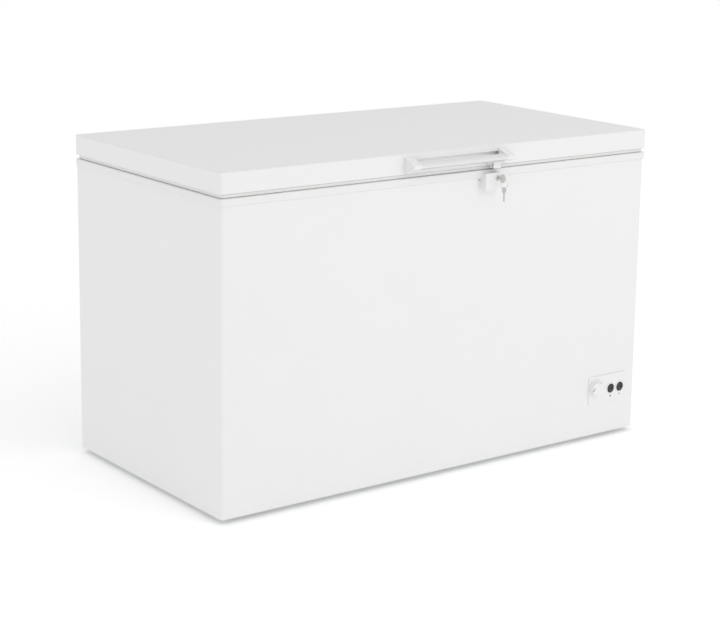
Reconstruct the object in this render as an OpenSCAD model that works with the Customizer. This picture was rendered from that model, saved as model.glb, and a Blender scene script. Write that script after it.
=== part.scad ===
// Chest freezer with a counterbalanced lid, a stand-off handle, a key lock and two hanging baskets.
// Origin: floor level, centre of the whole outline. +Z up, the front faces -Y, +X is the machine end.

/* [Overall] */
// Width over the lid
lid_w = 1360; // [1000:10:1700]
// Depth over the lid, front to back
lid_d = 700; // [580:10:850]
// Height from the floor to the top of the lid
total_h = 850; // [720:10:1020]

/* [Cabinet] */
// Height of the feet under the base
foot_h = 12; // [8:1:40]
// How far the shell sits back from the lid's edges
body_inset = 4; // [2:0.5:10]
// Steel sheet thickness of the outer shell
sheet_t = 0.8; // [0.6:0.1:1.5]
// Outside corner radius of the shell
body_corner_r = 8; // [4:1:20]
// Insulated wall thickness
wall_t = 65; // [45:1:90]
// Insulated floor thickness
floor_t = 70; // [50:1:100]
// Thickness of the storage liner
liner_t = 1; // [0.8:0.1:2]
// Corner radius of the storage liner
liner_corner_r = 24; // [10:1:40]

/* [Top frame] */
// Height of the outer lip of the top frame
rim_h = 18; // [12:1:30]
// Plate thickness of the top frame
rim_t = 3; // [2:0.5:5]
// Width of the ledge that the baskets hang on
ledge_w = 12; // [8:1:20]
// Depth of that ledge below the top of the frame
ledge_drop = 25; // [18:1:40]

/* [Machine compartment] */
// Length of the compartment along the cabinet
machine_len = 262; // [220:1:320]
// Height of the compartment above the base
machine_h = 250; // [220:1:320]
// Insulation between the compartment and the liner
machine_wall_t = 50; // [35:1:70]
// Radius of the compressor shell
compressor_r = 84; // [65:1:95]
// Height of the compressor shell
compressor_h = 168; // [130:1:190]
// Outside diameter of the refrigerant tubes
tube_d = 6; // [4:0.5:8]

/* [Lid] */
// Thickness of the lid
lid_t = 51; // [40:1:80]
// Gap between the lid and the top frame, which the seal fills
lid_gap = 11; // [8:1:16]
// Corner radius of the lid seen from above
lid_corner_r = 9; // [5:1:25]
// Depth of the raised inner panel below the lid's edge
plug_h = 20; // [10:1:24]
// How far the seal sits in from the lid's edge
seal_inset = 6; // [5:1:30]
// Width of the seal
seal_w = 16; // [10:1:24]

/* [Handle] */
// Distance of the handle's middle from the lid's middle
handle_x = 14; // [-20:1:30]
// Width of the handle's base panel
handle_w = 342; // [300:2:400]
// Width over the two brackets
grip_w = 326; // [280:2:360]
// Width of one bracket
bracket_w = 25; // [15:1:40]
// How far the grip stands out from the lid
grip_out = 41; // [35:1:60]
// Depth of the finger recess behind the grip
recess_d = 12; // [6:1:16]

/* [Hinges] */
// Distance of each hinge from the middle
hinge_x = 450; // [300:10:480]
// Distance of the hinge axis behind the lid
hinge_back = 16; // [14:1:30]
// Radius of the hinge pin
pin_r = 4; // [3:0.5:6]
// Radial clearance of a pin in its barrel
pin_clear = 0.05; // [0.01:0.01:0.1]

/* [Lock] */
// Position of the lock barrel, right of the middle
lock_x = 139; // [100:1:220]
// Depth of the barrel's axis below the top frame
lock_drop = 19.5; // [17:0.5:24]
// Width of the lock housing
lock_w = 54; // [50:1:70]
// Height of the lock housing
lock_h = 44; // [40:1:60]
// How far the housing stands out from the lid's front
lock_out = 20; // [18:1:28]
// Radius of the lock barrel
barrel_r = 6; // [5:0.5:7]
// Radius of the key ring
ring_r = 11.5; // [10:0.5:14]

/* [Controls] */
// Distance of the control panel's centre in from the right side of the shell
panel_in = 104; // [90:1:130]
// Height of the control panel's centre above the base
panel_up = 126; // [100:1:150]
// Width of the control panel
panel_w = 134; // [125:1:160]
// Height of the control panel
panel_h = 78; // [70:1:100]
// Diameter of the thermostat dial
dial_d = 42; // [34:1:44]
// Diameter of each rocker switch
rocker_d = 25; // [16:1:26]

/* [Baskets] */
// Width of a basket along the freezer
basket_w = 240; // [160:5:260]
// Depth of a basket
basket_h = 200; // [120:5:240]
// Thickness of a basket's wall
basket_t = 3; // [2:0.5:5]

/* [Hidden] */
$fn = 48;
eps = 0.01;
moving_gap = 0.5;   // between pieces that move past each other
seal_gap = 0.3;     // the seal just clears the frame when the lid is shut

// Outline in depth
key_bow_r = 11;
key_neck = 4;
ring_in = 4.5;          // the ring's hole, in from the end of the key's bow
spare_bow_r = 8;
bow_reach = lock_out + 1.5 + key_neck + key_bow_r;
ring_reach = bow_reach + key_bow_r - ring_in;
hinge_ear_r = 9;
front_reach = max(ring_reach + spare_bow_r, grip_out);
rear_reach = hinge_back + hinge_ear_r;
lid_front = -(front_reach + lid_d + rear_reach) / 2 + front_reach;
lid_back = lid_front + lid_d;

// Levels
rim_z = total_h - lid_t - lid_gap;
lid_z = total_h - lid_t;
base_z = foot_h;
ledge_z = rim_z - ledge_drop;
liner_top = ledge_z - rim_t;

// Shell and liner
body_x = lid_w / 2 - body_inset;
body_front = lid_front + body_inset;
body_back = lid_back - body_inset;
mid_y = (lid_front + lid_back) / 2;
shell_top = rim_z - rim_t;
liner_x = body_x - wall_t;
liner_front = body_front + wall_t;
liner_back = body_back - wall_t;
liner_floor = base_z + floor_t;
machine_x = body_x - machine_len;
machine_top = base_z + machine_h;
step_x = machine_x - machine_wall_t;
step_floor = machine_top + machine_wall_t;

// Grilles and openings of the machine compartment
grille_t = 2;
rear_open_w = machine_len - 50;
rear_open_h = machine_h - 40;
rear_open_x = body_x - machine_len / 2;
rear_open_z = base_z + machine_h / 2;
side_open_d = 300;
side_open_h = 150;
side_open_z = base_z + machine_h / 2;
grille_lap = 12;

// Compressor
comp_x = body_x - machine_len / 2 + 6;
comp_y = mid_y + 110;
plate_z = base_z + sheet_t;
plate_t = 2;
grommet_h = 14;
comp_z = plate_z + plate_t + grommet_h;
foot_pitch_x = 170;
foot_pitch_y = 120;
drier_y = mid_y - 120;
drier_z = base_z + 70;

// Condenser and evaporator
skin_tube_r = 2.4;
skin_runs = 5;
evap_runs = 5;
evap_low = step_floor + 60;

// Hinges
hinge_z = lid_z - 2;
hinge_y = lid_back + hinge_back;
ear_t = 3;
ear_in = 21;
leaf_t = 2.5;
leaf_barrel_r = 7.5;
spring_wire_r = 1;
spring_coil_r = 6.2;
hinge_plate_w = 68;
hinge_plate_t = 2.5;
hinge_plate_h = 90;

// Feet, compressor rails and the grilles' slots
foot_r = 21;
foot_screw_r = 3.2;
foot_screw_head_r = 6;
rail_w = 28;
rear_slots = 9;
rear_slot_pitch = 19;
rear_slot_margin = 24;
side_slots = 10;
side_slot_pitch = 15;
side_slot_margin = 20;

// Lock
lock_z = rim_z - lock_drop;
lock_left = lock_x - 41;
lock_wall = 2;
lock_top = lock_z + 13.5;
cam_t = 2.5;
cam_y = lid_front - lock_out / 2 - 1.5;
cam_reach = 36;
cam_w = 8;
strike_w = 23;
strike_top = cam_reach + lock_z + 6;
ring_wire_r = 0.8;
ring_hole_r = 2.2;
bow_y = lid_front - bow_reach;
ring_y = lid_front - ring_reach;
ring_pivot_z = lock_z - 0.9;
spare_pivot_z = ring_pivot_z - 2 * ring_r;

// Handle: the grip's section stands off the lid, its corners given from the lid's front and underside
cap_z = total_h - 16;
lip_z = lid_z + 8;
insert_d = recess_d + 2;
flange_out = 0.8;

// Controls
panel_x = body_x - panel_in;
panel_z = base_z + panel_up;
panel_t = 3;
dial_x = panel_x - 45;
dial_z = panel_z + 6;
panel_lap = 5;
rocker_z = panel_z - 2;
rocker_pitch = 34;
rocker_xl = panel_x + 14;
rocker_xr = rocker_xl + rocker_pitch;
rocker_tilt = 6;
spindle_r = 3;

// Drain
drain_x = -liner_x + 90;
drain_y = liner_front + 90;
drain_r = 10;

// Baskets
basket_front = liner_front + liner_t + 8;
basket_back = liner_back - liner_t - 8;
basket_z = ledge_z + moving_gap;
basket_rim_h = 6;
basket_lx = -liner_x + liner_t + 12 + basket_w / 2;
basket_rx = liner_x - liner_t - 12 - basket_w / 2;

// Lamp under the lid
lamp_w = 120;
lamp_d = 56;
lamp_drop = 12;

module rounded_rect(w, d, r) {
    square([w - 2 * r, d], center = true);
    square([w, d - 2 * r], center = true);
    for (sx = [-1, 1], sy = [-1, 1])
        translate([sx * (w / 2 - r), sy * (d / 2 - r)])
            circle(r);
}

// A vertical prism with rounded corners, centred on the cabinet
module block(w, d, r, z0, z1, y = mid_y) {
    translate([0, y, z0])
        linear_extrude(z1 - z0)
            rounded_rect(w, d, r);
}

// A box from its low and high corners
module span(a, b) {
    translate(a)
        cube(b - a);
}

// A bar along X whose section is drawn in (y, z)
module along_x(x0, x1) {
    translate([x0, 0, 0])
        rotate([90, 0, 90])
            linear_extrude(x1 - x0)
                children();
}

// A prism along Y whose section is drawn in (x, z), from y0 back to y1
module along_y(y0, y1) {
    translate([0, y1, 0])
        rotate([90, 0, 0])
            linear_extrude(y1 - y0)
                children();
}

// A straight round bar between two points
module rod(a, b, r) {
    d = b - a;
    len = norm(d);
    translate(a)
        rotate([0, acos(d[2] / len), atan2(d[1], d[0])])
            cylinder(h = len, r = r);
}

// A round tube through a list of points, with ball corners
module pipe(points, r) {
    for (i = [0 : len(points) - 2])
        rod(points[i], points[i + 1], r);
    for (i = [1 : len(points) - 2])
        translate(points[i])
            sphere(r);
}

// A pan-head screw along +Z with its head's top at z = 0
module screw(shank_r, head_r, head_h, length) {
    translate([0, 0, -head_h])
        cylinder(h = head_h, r = head_r);
    translate([0, 0, -length])
        cylinder(h = length, r = shank_r);
}

// ---------------------------------------------------------------- cabinet

module outer_wrap_section(inset, r) {
    translate([0, mid_y]) {
        rounded_rect(2 * (body_x - inset), body_back - body_front - 2 * inset, r);
        translate([0, (body_back - body_front) / 4])
            square([2 * (body_x - inset), (body_back - body_front) / 2], center = true);
    }
}

module outer_wrap() {
    color("white")
        difference() {
            translate([0, 0, base_z])
                linear_extrude(shell_top - base_z)
                    difference() {
                        outer_wrap_section(0, body_corner_r);
                        outer_wrap_section(sheet_t, body_corner_r - sheet_t);
                        translate([-body_x + sheet_t, mid_y])
                            square([2 * (body_x - sheet_t), lid_d]);
                    }
            span([panel_x - panel_w / 2 + panel_lap, body_front - 1, panel_z - panel_h / 2 + panel_lap],
                [panel_x + panel_w / 2 - panel_lap, body_front + 2, panel_z + panel_h / 2 - panel_lap]);
            span([body_x - 2, mid_y - side_open_d / 2, side_open_z - side_open_h / 2],
                [body_x + 1, mid_y + side_open_d / 2, side_open_z + side_open_h / 2]);
        }
}

module rear_panel() {
    color("gainsboro")
        difference() {
            span([-body_x + sheet_t, body_back - sheet_t, base_z], [body_x - sheet_t, body_back, shell_top]);
            span([rear_open_x - rear_open_w / 2, body_back - 5, rear_open_z - rear_open_h / 2],
                [rear_open_x + rear_open_w / 2, body_back + 5, rear_open_z + rear_open_h / 2]);
        }
}

module foot_places() {
    for (sx = [-1, 1], sy = [-1, 1])
        translate([sx * (body_x - 60), mid_y + sy * (lid_d / 2 - 64), 0])
            children();
}

// The space inside the shell's sheets between two levels
module inside_shell(z0, z1) {
    intersection() {
        translate([0, 0, z0])
            linear_extrude(z1 - z0)
                outer_wrap_section(sheet_t, body_corner_r - sheet_t);
        span([-lid_w, -lid_d, z0], [lid_w, body_back - sheet_t, z1]);
    }
}

module base_pan() {
    color("silver")
        difference() {
            inside_shell(base_z, base_z + sheet_t);
            foot_places()
                cylinder(h = 3 * base_z, r = 3.2);
            translate([drain_x, drain_y, 0])
                cylinder(h = 3 * base_z, r = drain_r);
            span([comp_x - 60, comp_y - 40, 0], [comp_x + 60, comp_y + 40, 2 * base_z]);
        }
}

module machine_space(grow) {
    span([machine_x - grow, body_front - 1, base_z - 1], [body_x + 1, body_back + 1, machine_top + grow]);
}

module cabinet_foam() {
    color("khaki")
        difference() {
            inside_shell(base_z + sheet_t, shell_top);
            liner_shape(0);
            machine_space(1);
            block(2 * (liner_x + ledge_w), liner_back - liner_front + 2 * ledge_w, liner_corner_r,
                liner_top, shell_top + 1);
            condenser_tube();
            evaporator_tube();
            translate([drain_x, drain_y, 0])
                cylinder(h = liner_floor + 1, r = drain_r);
        }
}

// The liner's outside, or its inside when inset by its thickness
module liner_shape(inset) {
    r = liner_corner_r - inset;
    w = step_x + liner_x;
    translate([0, mid_y, step_floor + inset])
        linear_extrude(liner_top - step_floor - inset + (inset > 0 ? 1 : 0))
            rounded_rect(2 * (liner_x - inset), liner_back - liner_front - 2 * inset, r);
    translate([-liner_x + w / 2, mid_y, liner_floor + inset])
        linear_extrude(step_floor - liner_floor + 1)
            rounded_rect(w - 2 * inset, liner_back - liner_front - 2 * inset, r);
}

module inner_liner() {
    color("gainsboro")
        difference() {
            liner_shape(0);
            liner_shape(liner_t);
            translate([drain_x, drain_y, liner_floor - 1])
                cylinder(h = 10, r = drain_r - 1.5);
        }
}

module top_frame() {
    color("whitesmoke")
        difference() {
            union() {
                block(lid_w, lid_d, lid_corner_r, rim_z - rim_h, rim_z);
                block(2 * (liner_x + ledge_w), liner_back - liner_front + 2 * ledge_w, liner_corner_r,
                    liner_top, rim_z);
            }
            difference() {
                outer_wrap_block();
                block(2 * (liner_x + ledge_w), liner_back - liner_front + 2 * ledge_w, liner_corner_r,
                    liner_top - 1, rim_z);
            }
            block(2 * (liner_x + ledge_w - rim_t), liner_back - liner_front + 2 * (ledge_w - rim_t),
                liner_corner_r - rim_t, ledge_z, rim_z + 1);
            block(2 * (liner_x - liner_t), liner_back - liner_front - 2 * liner_t, liner_corner_r - liner_t,
                liner_top - 1, rim_z);
        }
}

// Everything inside the shell's outside face, up to the underside of the frame's plate
module outer_wrap_block() {
    translate([0, 0, liner_top - 20])
        linear_extrude(shell_top - liner_top + 20)
            outer_wrap_section(0, body_corner_r);
}

module machine_wall() {
    color("silver")
        difference() {
            intersection() {
                inside_shell(base_z + sheet_t, machine_top + 1);
                span([machine_x - 1, -lid_d, 0], [lid_w, lid_d, total_h]);
            }
            span([machine_x, body_front - 1, 0], [body_x + 1, body_back + 1, machine_top]);
        }
}

// A tube that runs round three sides in level rows, joined end to end at the back
module round_three_sides(x, front, back, low, pitch, runs, r) {
    bend = 20;
    for (i = [0 : runs - 1]) {
        z = low + i * pitch;
        for (s = [-1, 1])
            rod([s * x, front + bend, z], [s * x, back, z], r);
        rod([-x + bend, front, z], [x - bend, front, z], r);
        for (s = [-1, 1])
            translate([s * (x - bend), front + bend, z])
                rotate([0, 0, s > 0 ? 270 : 180])
                    rotate_extrude(angle = 90)
                        translate([bend, 0])
                            circle(r);
        if (i < runs - 1)
            translate([(i % 2 == 0 ? 1 : -1) * x, back, z + pitch / 2])
                rotate([90, 0, 90])
                    rotate([0, 0, -90])
                        rotate_extrude(angle = 180)
                            translate([pitch / 2, 0])
                                circle(r);
    }
}

module condenser_tube() {
    color("peru")
        round_three_sides(body_x - sheet_t - skin_tube_r - 0.2, body_front + sheet_t + skin_tube_r + 0.2,
            body_back - 90, machine_top + 40, (shell_top - machine_top - 100) / (skin_runs - 1), skin_runs,
            skin_tube_r);
}

module evaporator_tube() {
    color("peru")
        round_three_sides(liner_x + skin_tube_r + 0.2, liner_front - skin_tube_r - 0.2, liner_back - 70,
            evap_low, (liner_top - evap_low - 40) / (evap_runs - 1), evap_runs, skin_tube_r);
}

// ---------------------------------------------------------------- cooling machine

module pot(r, h, edge) {
    rotate_extrude()
        intersection() {
            union() {
                translate([0, edge])
                    square([r, h - 2 * edge]);
                square([r - edge, h]);
                for (z = [edge, h - edge])
                    translate([r - edge, z])
                        circle(edge);
            }
            square([2 * r, 2 * h]);
        }
}

module compressor() {
    color("dimgray")
        translate([comp_x, comp_y, comp_z]) {
            translate([0, 0, 6])
                pot(compressor_r, compressor_h, 30);
            difference() {
                for (sy = [-1, 1])
                    translate([-(foot_pitch_x + rail_w) / 2, (sy * foot_pitch_y - rail_w) / 2, 0])
                        cube([foot_pitch_x + rail_w, rail_w, 3]);
                comp_feet()
                    cylinder(h = 20, r = 6, center = true);
            }
            for (sx = [-1, 1], sy = [-1, 1])
                translate([sx * 40 - 4, sy * foot_pitch_y / 2 - 8, 3 - eps])
                    cube([8, 16, 24]);
        }
}

module comp_feet() {
    for (sx = [-1, 1], sy = [-1, 1])
        translate([sx * foot_pitch_x / 2, sy * foot_pitch_y / 2, 0])
            children();
}

module compressor_plate() {
    color("gray")
        difference() {
            span([machine_x + 4, comp_y - 92, plate_z], [body_x - sheet_t - 4, comp_y + 92, plate_z + plate_t]);
            translate([comp_x, comp_y, 0])
                comp_feet()
                    cylinder(h = 3 * comp_z, r = 3);
        }
}

module compressor_grommets() {
    color("black")
        translate([comp_x, comp_y, plate_z + plate_t])
            comp_feet()
                difference() {
                    union() {
                        cylinder(h = grommet_h, r = 11);
                        cylinder(h = grommet_h + 3, r = 6);
                    }
                    translate([0, 0, -1])
                        cylinder(h = grommet_h + 6, r = 3);
                }
}

module compressor_bolts() {
    color("silver")
        translate([comp_x, comp_y, comp_z + 3])
            comp_feet() {
                translate([0, 0, -grommet_h - plate_t - 3])
                    cylinder(h = grommet_h + plate_t + 8, r = 3);
                cylinder(h = 1.5, r = 9);
                translate([0, 0, 1.5])
                    cylinder(h = 5, r = 5.8, $fn = 6);
            }
}

module start_relay_cover() {
    color("black")
        translate([comp_x - 24, comp_y - compressor_r - 34, comp_z + 50])
            difference() {
                cube([48, 34 - eps, 62]);
                translate([2, 2, 2])
                    cube([44, 40, 58]);
            }
}

module filter_drier() {
    color("peru")
        translate([machine_x + 40, drier_y, drier_z]) {
            cylinder(h = 90, r = 11);
            translate([0, 0, -14])
                cylinder(h = 14, r1 = 4, r2 = 11);
            translate([0, 0, 90])
                cylinder(h = 14, r1 = 11, r2 = 4);
        }
}

module discharge_tube() {
    r = tube_d / 2;
    top = comp_z + compressor_h + 6;
    color("peru")
        pipe([[comp_x + 30, comp_y, top], [comp_x + 30, comp_y, top + 26],
            [comp_x + 30, drier_y, top + 26], [machine_x + 40, drier_y, top + 26],
            [machine_x + 40, drier_y, drier_z + 104]], r);
}

module suction_tube() {
    r = tube_d / 2;
    top = comp_z + compressor_h + 6;
    color("peru")
        pipe([[comp_x - 40, comp_y, top], [comp_x - 40, comp_y, top + 16],
            [comp_x - 40, mid_y + 240, top + 16], [machine_x + 14, mid_y + 240, top + 16],
            [machine_x + 14, mid_y + 240, machine_top - r]], r);
}

module wiring_harness() {
    y = body_front + 70;
    color("black")
        pipe([[comp_x, comp_y - compressor_r - 34, comp_z + 80], [comp_x, y, comp_z + 80],
            [dial_x, y, comp_z + 80], [dial_x, y, dial_z - 6]], 3.5);
}

// Louvre slots across a panel: children() cuts one slot, repeated up the height
module slot_rows(count, pitch) {
    for (i = [0 : count - 1])
        translate([0, 0, (i - (count - 1) / 2) * pitch])
            children();
}

module rear_grille() {
    w = rear_open_w + 2 * grille_lap;
    h = rear_open_h + 2 * grille_lap;
    color("dimgray")
        difference() {
            translate([rear_open_x, body_back, rear_open_z])
                difference() {
                    span([-w / 2, 0, -h / 2], [w / 2, grille_t, h / 2]);
                    translate([0, 0, 12])
                        slot_rows(rear_slots, rear_slot_pitch)
                            span([-w / 2 + rear_slot_margin, -1, -4], [w / 2 - rear_slot_margin, grille_t + 1, 4]);
                    grille_holes(w, h)
                        rotate([90, 0, 0])
                            cylinder(h = 20, r = 2, center = true);
                }
            gland_place()
                rotate([90, 0, 0])
                    cylinder(h = 20, r = 7, center = true);
        }
}

module grille_holes(w, h) {
    for (sx = [-1, 1], sz = [-0.5, 1])
        translate([sx * (w / 2 - 6), 0, sz * (h / 2 - 6)])
            children();
}

module side_grille() {
    d = side_open_d + 2 * grille_lap;
    h = side_open_h + 2 * grille_lap;
    color("white")
        translate([body_x, mid_y, side_open_z])
            difference() {
                span([0, -d / 2, -h / 2], [grille_t, d / 2, h / 2]);
                slot_rows(side_slots, side_slot_pitch)
                    span([-1, -d / 2 + side_slot_margin, -3], [grille_t + 1, d / 2 - side_slot_margin, 3]);
                side_holes(d, h)
                    rotate([0, 90, 0])
                        cylinder(h = 20, r = 2, center = true);
            }
}

module side_holes(d, h) {
    for (sy = [-1, 1], sz = [-1, 1])
        translate([0, sy * (d / 2 - 6), sz * (h / 2 - 6)])
            children();
}

module grille_screws() {
    color("silver") {
        translate([rear_open_x, body_back + grille_t + 1.5, rear_open_z])
            grille_holes(rear_open_w + 2 * grille_lap, rear_open_h + 2 * grille_lap)
                rotate([-90, 0, 0])
                    screw(2, 4, 1.5, 1.5 + grille_t);
        translate([body_x + grille_t + 1.2, mid_y, side_open_z])
            side_holes(side_open_d + 2 * grille_lap, side_open_h + 2 * grille_lap)
                rotate([0, 90, 0])
                    screw(2, 4, 1.2, 1.2 + grille_t);
    }
}

module gland_place() {
    translate([rear_open_x - rear_open_w / 2 + 16, body_back, rear_open_z - rear_open_h / 2 + 12])
        children();
}

module mains_gland() {
    color("black")
        gland_place()
            rotate([-90, 0, 0])
                difference() {
                    union() {
                        translate([0, 0, -3])
                            cylinder(h = 10, r = 7);
                        translate([0, 0, grille_t])
                            cylinder(h = 4, r = 10);
                    }
                    translate([0, 0, -4])
                        cylinder(h = 20, r = 4);
                }
}

// ---------------------------------------------------------------- controls

module panel_holes(dial_r, rocker_r) {
    translate([dial_x, dial_z])
        circle(dial_r);
    for (x = [rocker_xl, rocker_xr])
        translate([x, rocker_z])
            circle(rocker_r);
}

module control_panel() {
    color("white")
        along_y(body_front - panel_t, body_front)
            difference() {
                translate([panel_x, panel_z])
                    rounded_rect(panel_w, panel_h, 6);
                panel_holes(spindle_r + 2, rocker_d / 2 + 2);
            }
}

module thermostat_body() {
    color("lightgray")
        difference() {
            span([dial_x - 13, body_front, dial_z - 14], [dial_x + 13, body_front + 26, dial_z + 14]);
            translate([dial_x, body_front + 8, dial_z])
                rotate([90, 0, 0])
                    cylinder(h = 40, r = spindle_r + pin_clear);
        }
}

module thermostat_knob() {
    face = body_front - panel_t - moving_gap;
    color("whitesmoke")
        difference() {
            union() {
                translate([dial_x, face, dial_z])
                    rotate([90, 0, 0])
                        cylinder(h = 3, r = dial_d / 2);
                translate([dial_x, face - 3 + eps, dial_z])
                    rotate([90, 0, 0])
                        cylinder(h = 8, r = dial_d / 2 - 6);
                translate([dial_x, body_front + 7, dial_z])
                    rotate([90, 0, 0])
                        cylinder(h = 12, r = spindle_r);
            }
            span([dial_x - 0.8, face - 12, dial_z + 6], [dial_x + 0.8, face - 10, dial_z + dial_d / 2 - 7]);
        }
}

module thermostat_bulb_tube() {
    color("peru")
        pipe([[dial_x + 10, body_front + 26, dial_z], [dial_x + 10, body_front + 44, dial_z],
            [machine_x + 10, body_front + 44, dial_z], [machine_x + 10, body_front + 44, machine_top - 1]], 1.2);
}

module rocker_housings() {
    color("white")
        for (x = [rocker_xl, rocker_xr])
            translate([x, 0, rocker_z])
                rotate([90, 0, 0])
                    translate([0, 0, -body_front])
                        difference() {
                            union() {
                                cylinder(h = panel_t + 1.5, r = rocker_d / 2 + 2);
                                translate([0, 0, panel_t])
                                    cylinder(h = 1.5, r = rocker_d / 2 + 3.5);
                                translate([0, 0, -18])
                                    cylinder(h = 19, r = rocker_d / 2 + 1);
                            }
                            translate([0, 0, -10])
                                cylinder(h = 30, r = rocker_d / 2 + 0.6);
                        }
}

module rocker(x) {
    pivot = body_front + 4;
    translate([x, pivot, rocker_z])
        rotate([rocker_tilt, 0, 0])
            rotate([90, 0, 0])
                intersection() {
                    translate([0, 0, -4])
                        cylinder(h = 12.5, r = rocker_d / 2 - 0.7);
                    translate([0, 0, -46])
                        sphere(r = 54.5, $fn = 96);
                }
}

module rocker_left() {
    color("black")
        rocker(rocker_xl);
}

module rocker_right() {
    color("black")
        rocker(rocker_xr);
}

// ---------------------------------------------------------------- drain and feet

module drain_tube() {
    color("white")
        difference() {
            translate([drain_x, drain_y, base_z - 4])
                cylinder(h = liner_floor - base_z + 4, r = drain_r);
            translate([drain_x, drain_y, base_z - 5])
                cylinder(h = liner_floor, r = drain_r - 2);
        }
}

module drain_plug() {
    bore = drain_r - 2 - 0.6;
    color("gray")
        translate([drain_x, drain_y, liner_floor + liner_t + moving_gap]) {
            cylinder(h = 3, r = drain_r + 4);
            translate([0, 0, -16])
                cylinder(h = 17, r = bore - 0.5);
            translate([-1.5, -7, 3 - eps])
                cube([3, 14, 9]);
        }
}

module feet() {
    color("black")
        foot_places()
            difference() {
                cylinder(h = foot_h, r1 = foot_r - 3, r2 = foot_r);
                translate([0, 0, -1])
                    cylinder(h = foot_h / 2 + 1, r = foot_screw_head_r + 2);
                cylinder(h = foot_h + 1, r = foot_screw_r);
            }
}

module foot_screws() {
    color("silver")
        foot_places() {
            translate([0, 0, foot_h / 2 - 3])
                cylinder(h = 3, r = foot_screw_head_r);
            translate([0, 0, foot_h / 2 - eps])
                cylinder(h = foot_h / 2 + sheet_t, r = foot_screw_r);
        }
}

// ---------------------------------------------------------------- hinges

module hinge_places() {
    for (s = [-1, 1])
        translate([s * hinge_x, hinge_y, hinge_z])
            children();
}

// Bracket: a plate on the rear panel and two ears that carry the pin
module hinge_brackets() {
    rear = body_back - hinge_y;
    lip = rim_z - rim_h - hinge_z;
    color("silver")
        hinge_places()
            difference() {
                union() {
                    span([-hinge_plate_w / 2, rear, lip - hinge_plate_h],
                        [hinge_plate_w / 2, rear + hinge_plate_t, lip - 2]);
                    for (s = [-1, 1])
                        along_x(s > 0 ? ear_in : -ear_in - ear_t, s > 0 ? ear_in + ear_t : -ear_in) {
                            polygon([[rear, lip - hinge_plate_h], [rear + 6, lip - hinge_plate_h],
                                [hinge_ear_r, lip - 20],
                                [hinge_ear_r, 0], [-hinge_ear_r, 0], [-hinge_back + 1, lip + 4],
                                [-hinge_back + 1, lip - 2], [rear, lip - 2]]);
                            circle(hinge_ear_r);
                        }
                }
                along_x(-40, 40)
                    circle(pin_r);
                hinge_screw_places(rear, lip)
                    cylinder(h = 20, r = 2.5, center = true);
            }
}

module hinge_screw_places(rear, lip) {
    for (sx = [-1, 1], z = [lip - 80, lip - 14])
        translate([sx * 29, rear + 2.5, z])
            rotate([-90, 0, 0])
                children();
}

module hinge_screws() {
    rear = body_back - hinge_y;
    lip = rim_z - rim_h - hinge_z;
    color("gray")
        hinge_places()
            hinge_screw_places(rear, lip)
                translate([0, 0, 2])
                    screw(2.5, 4.5, 2, 4.5);
}

module hinge_pins() {
    color("gray")
        hinge_places() {
            along_x(-ear_in - ear_t - 1.5, ear_in + ear_t + 1.5)
                circle(pin_r);
            along_x(ear_in + ear_t, ear_in + ear_t + 1.5)
                circle(pin_r + 2);
        }
}

// A helical spring round each pin, swept as one tube, with its two legs
function coil_point(a) = [a / 360 * spring_wire_r * 2.15, spring_coil_r * cos(a), spring_coil_r * sin(a)];

module hinge_springs() {
    turns = 4;
    per_turn = 16;
    sides = 8;
    rings = turns * per_turn;
    points = [for (i = [0 : rings], k = [0 : sides - 1])
        let (a = 360 * i / per_turn, c = coil_point(a), b = 360 * k / sides,
            out = [0, cos(a), sin(a)])
            c + spring_wire_r * (cos(b) * out + sin(b) * [1, 0, 0])];
    color("dimgray")
        hinge_places()
            translate([-turns * spring_wire_r * 1.075, 0, 0])
                polyhedron(points = points, faces = concat(
                    [[for (k = [0 : sides - 1]) k]],
                    [for (i = [0 : rings - 1], k = [0 : sides - 1])
                        [i * sides + k, (i + 1) * sides + k, (i + 1) * sides + (k + 1) % sides,
                            i * sides + (k + 1) % sides]],
                    [[for (k = [0 : sides - 1]) rings * sides + sides - 1 - k]]));
}

module leaf_screw_places() {
    for (sx = [-1, 1], z = [16, 34])
        translate([sx * 12, -hinge_back + leaf_t, z])
            rotate([-90, 0, 0])
                children();
}

// Leaf: a plate on the lid's rear face and two barrels on the pin
module hinge_leaves() {
    color("silver")
        hinge_places()
            difference() {
                union() {
                    span([-20, -hinge_back, 6], [20, -hinge_back + leaf_t, 42]);
                    for (s = [-1, 1])
                        along_x(s > 0 ? 8 : -20, s > 0 ? 20 : -8) {
                            circle(leaf_barrel_r);
                            polygon([[-hinge_back, 6], [-hinge_back, 12], [-4, 6.4], [0, 0], [-6, 4]]);
                        }
                }
                along_x(-40, 40)
                    circle(pin_r + pin_clear);
                leaf_screw_places()
                    cylinder(h = 20, r = 2, center = true);
            }
}

module leaf_screws() {
    color("gray")
        hinge_places()
            leaf_screw_places()
                translate([0, 0, 1.5])
                    screw(2, 4, 1.5, 1.5 + leaf_t);
}

// ---------------------------------------------------------------- lid

module handle_space(back) {
    span([handle_x - handle_w / 2, lid_front - 5, lid_z - 1],
        [handle_x + handle_w / 2, lid_front + back, total_h - sheet_t]);
}

module lid_skin() {
    color("white")
        difference() {
            block(lid_w, lid_d, lid_corner_r, lid_z, total_h);
            block(lid_w - 2 * sheet_t, lid_d - 2 * sheet_t, lid_corner_r - sheet_t, lid_z - 1,
                total_h - sheet_t);
            handle_space(insert_d);
        }
}

module plug_shape(inset, z0, z1) {
    w = 2 * (liner_x + ledge_w - rim_t) - 28;
    d = liner_back - liner_front + 2 * (ledge_w - rim_t) - 28;
    block(w - 2 * inset, d - 2 * inset, liner_corner_r - inset, z0, z1);
}

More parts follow.
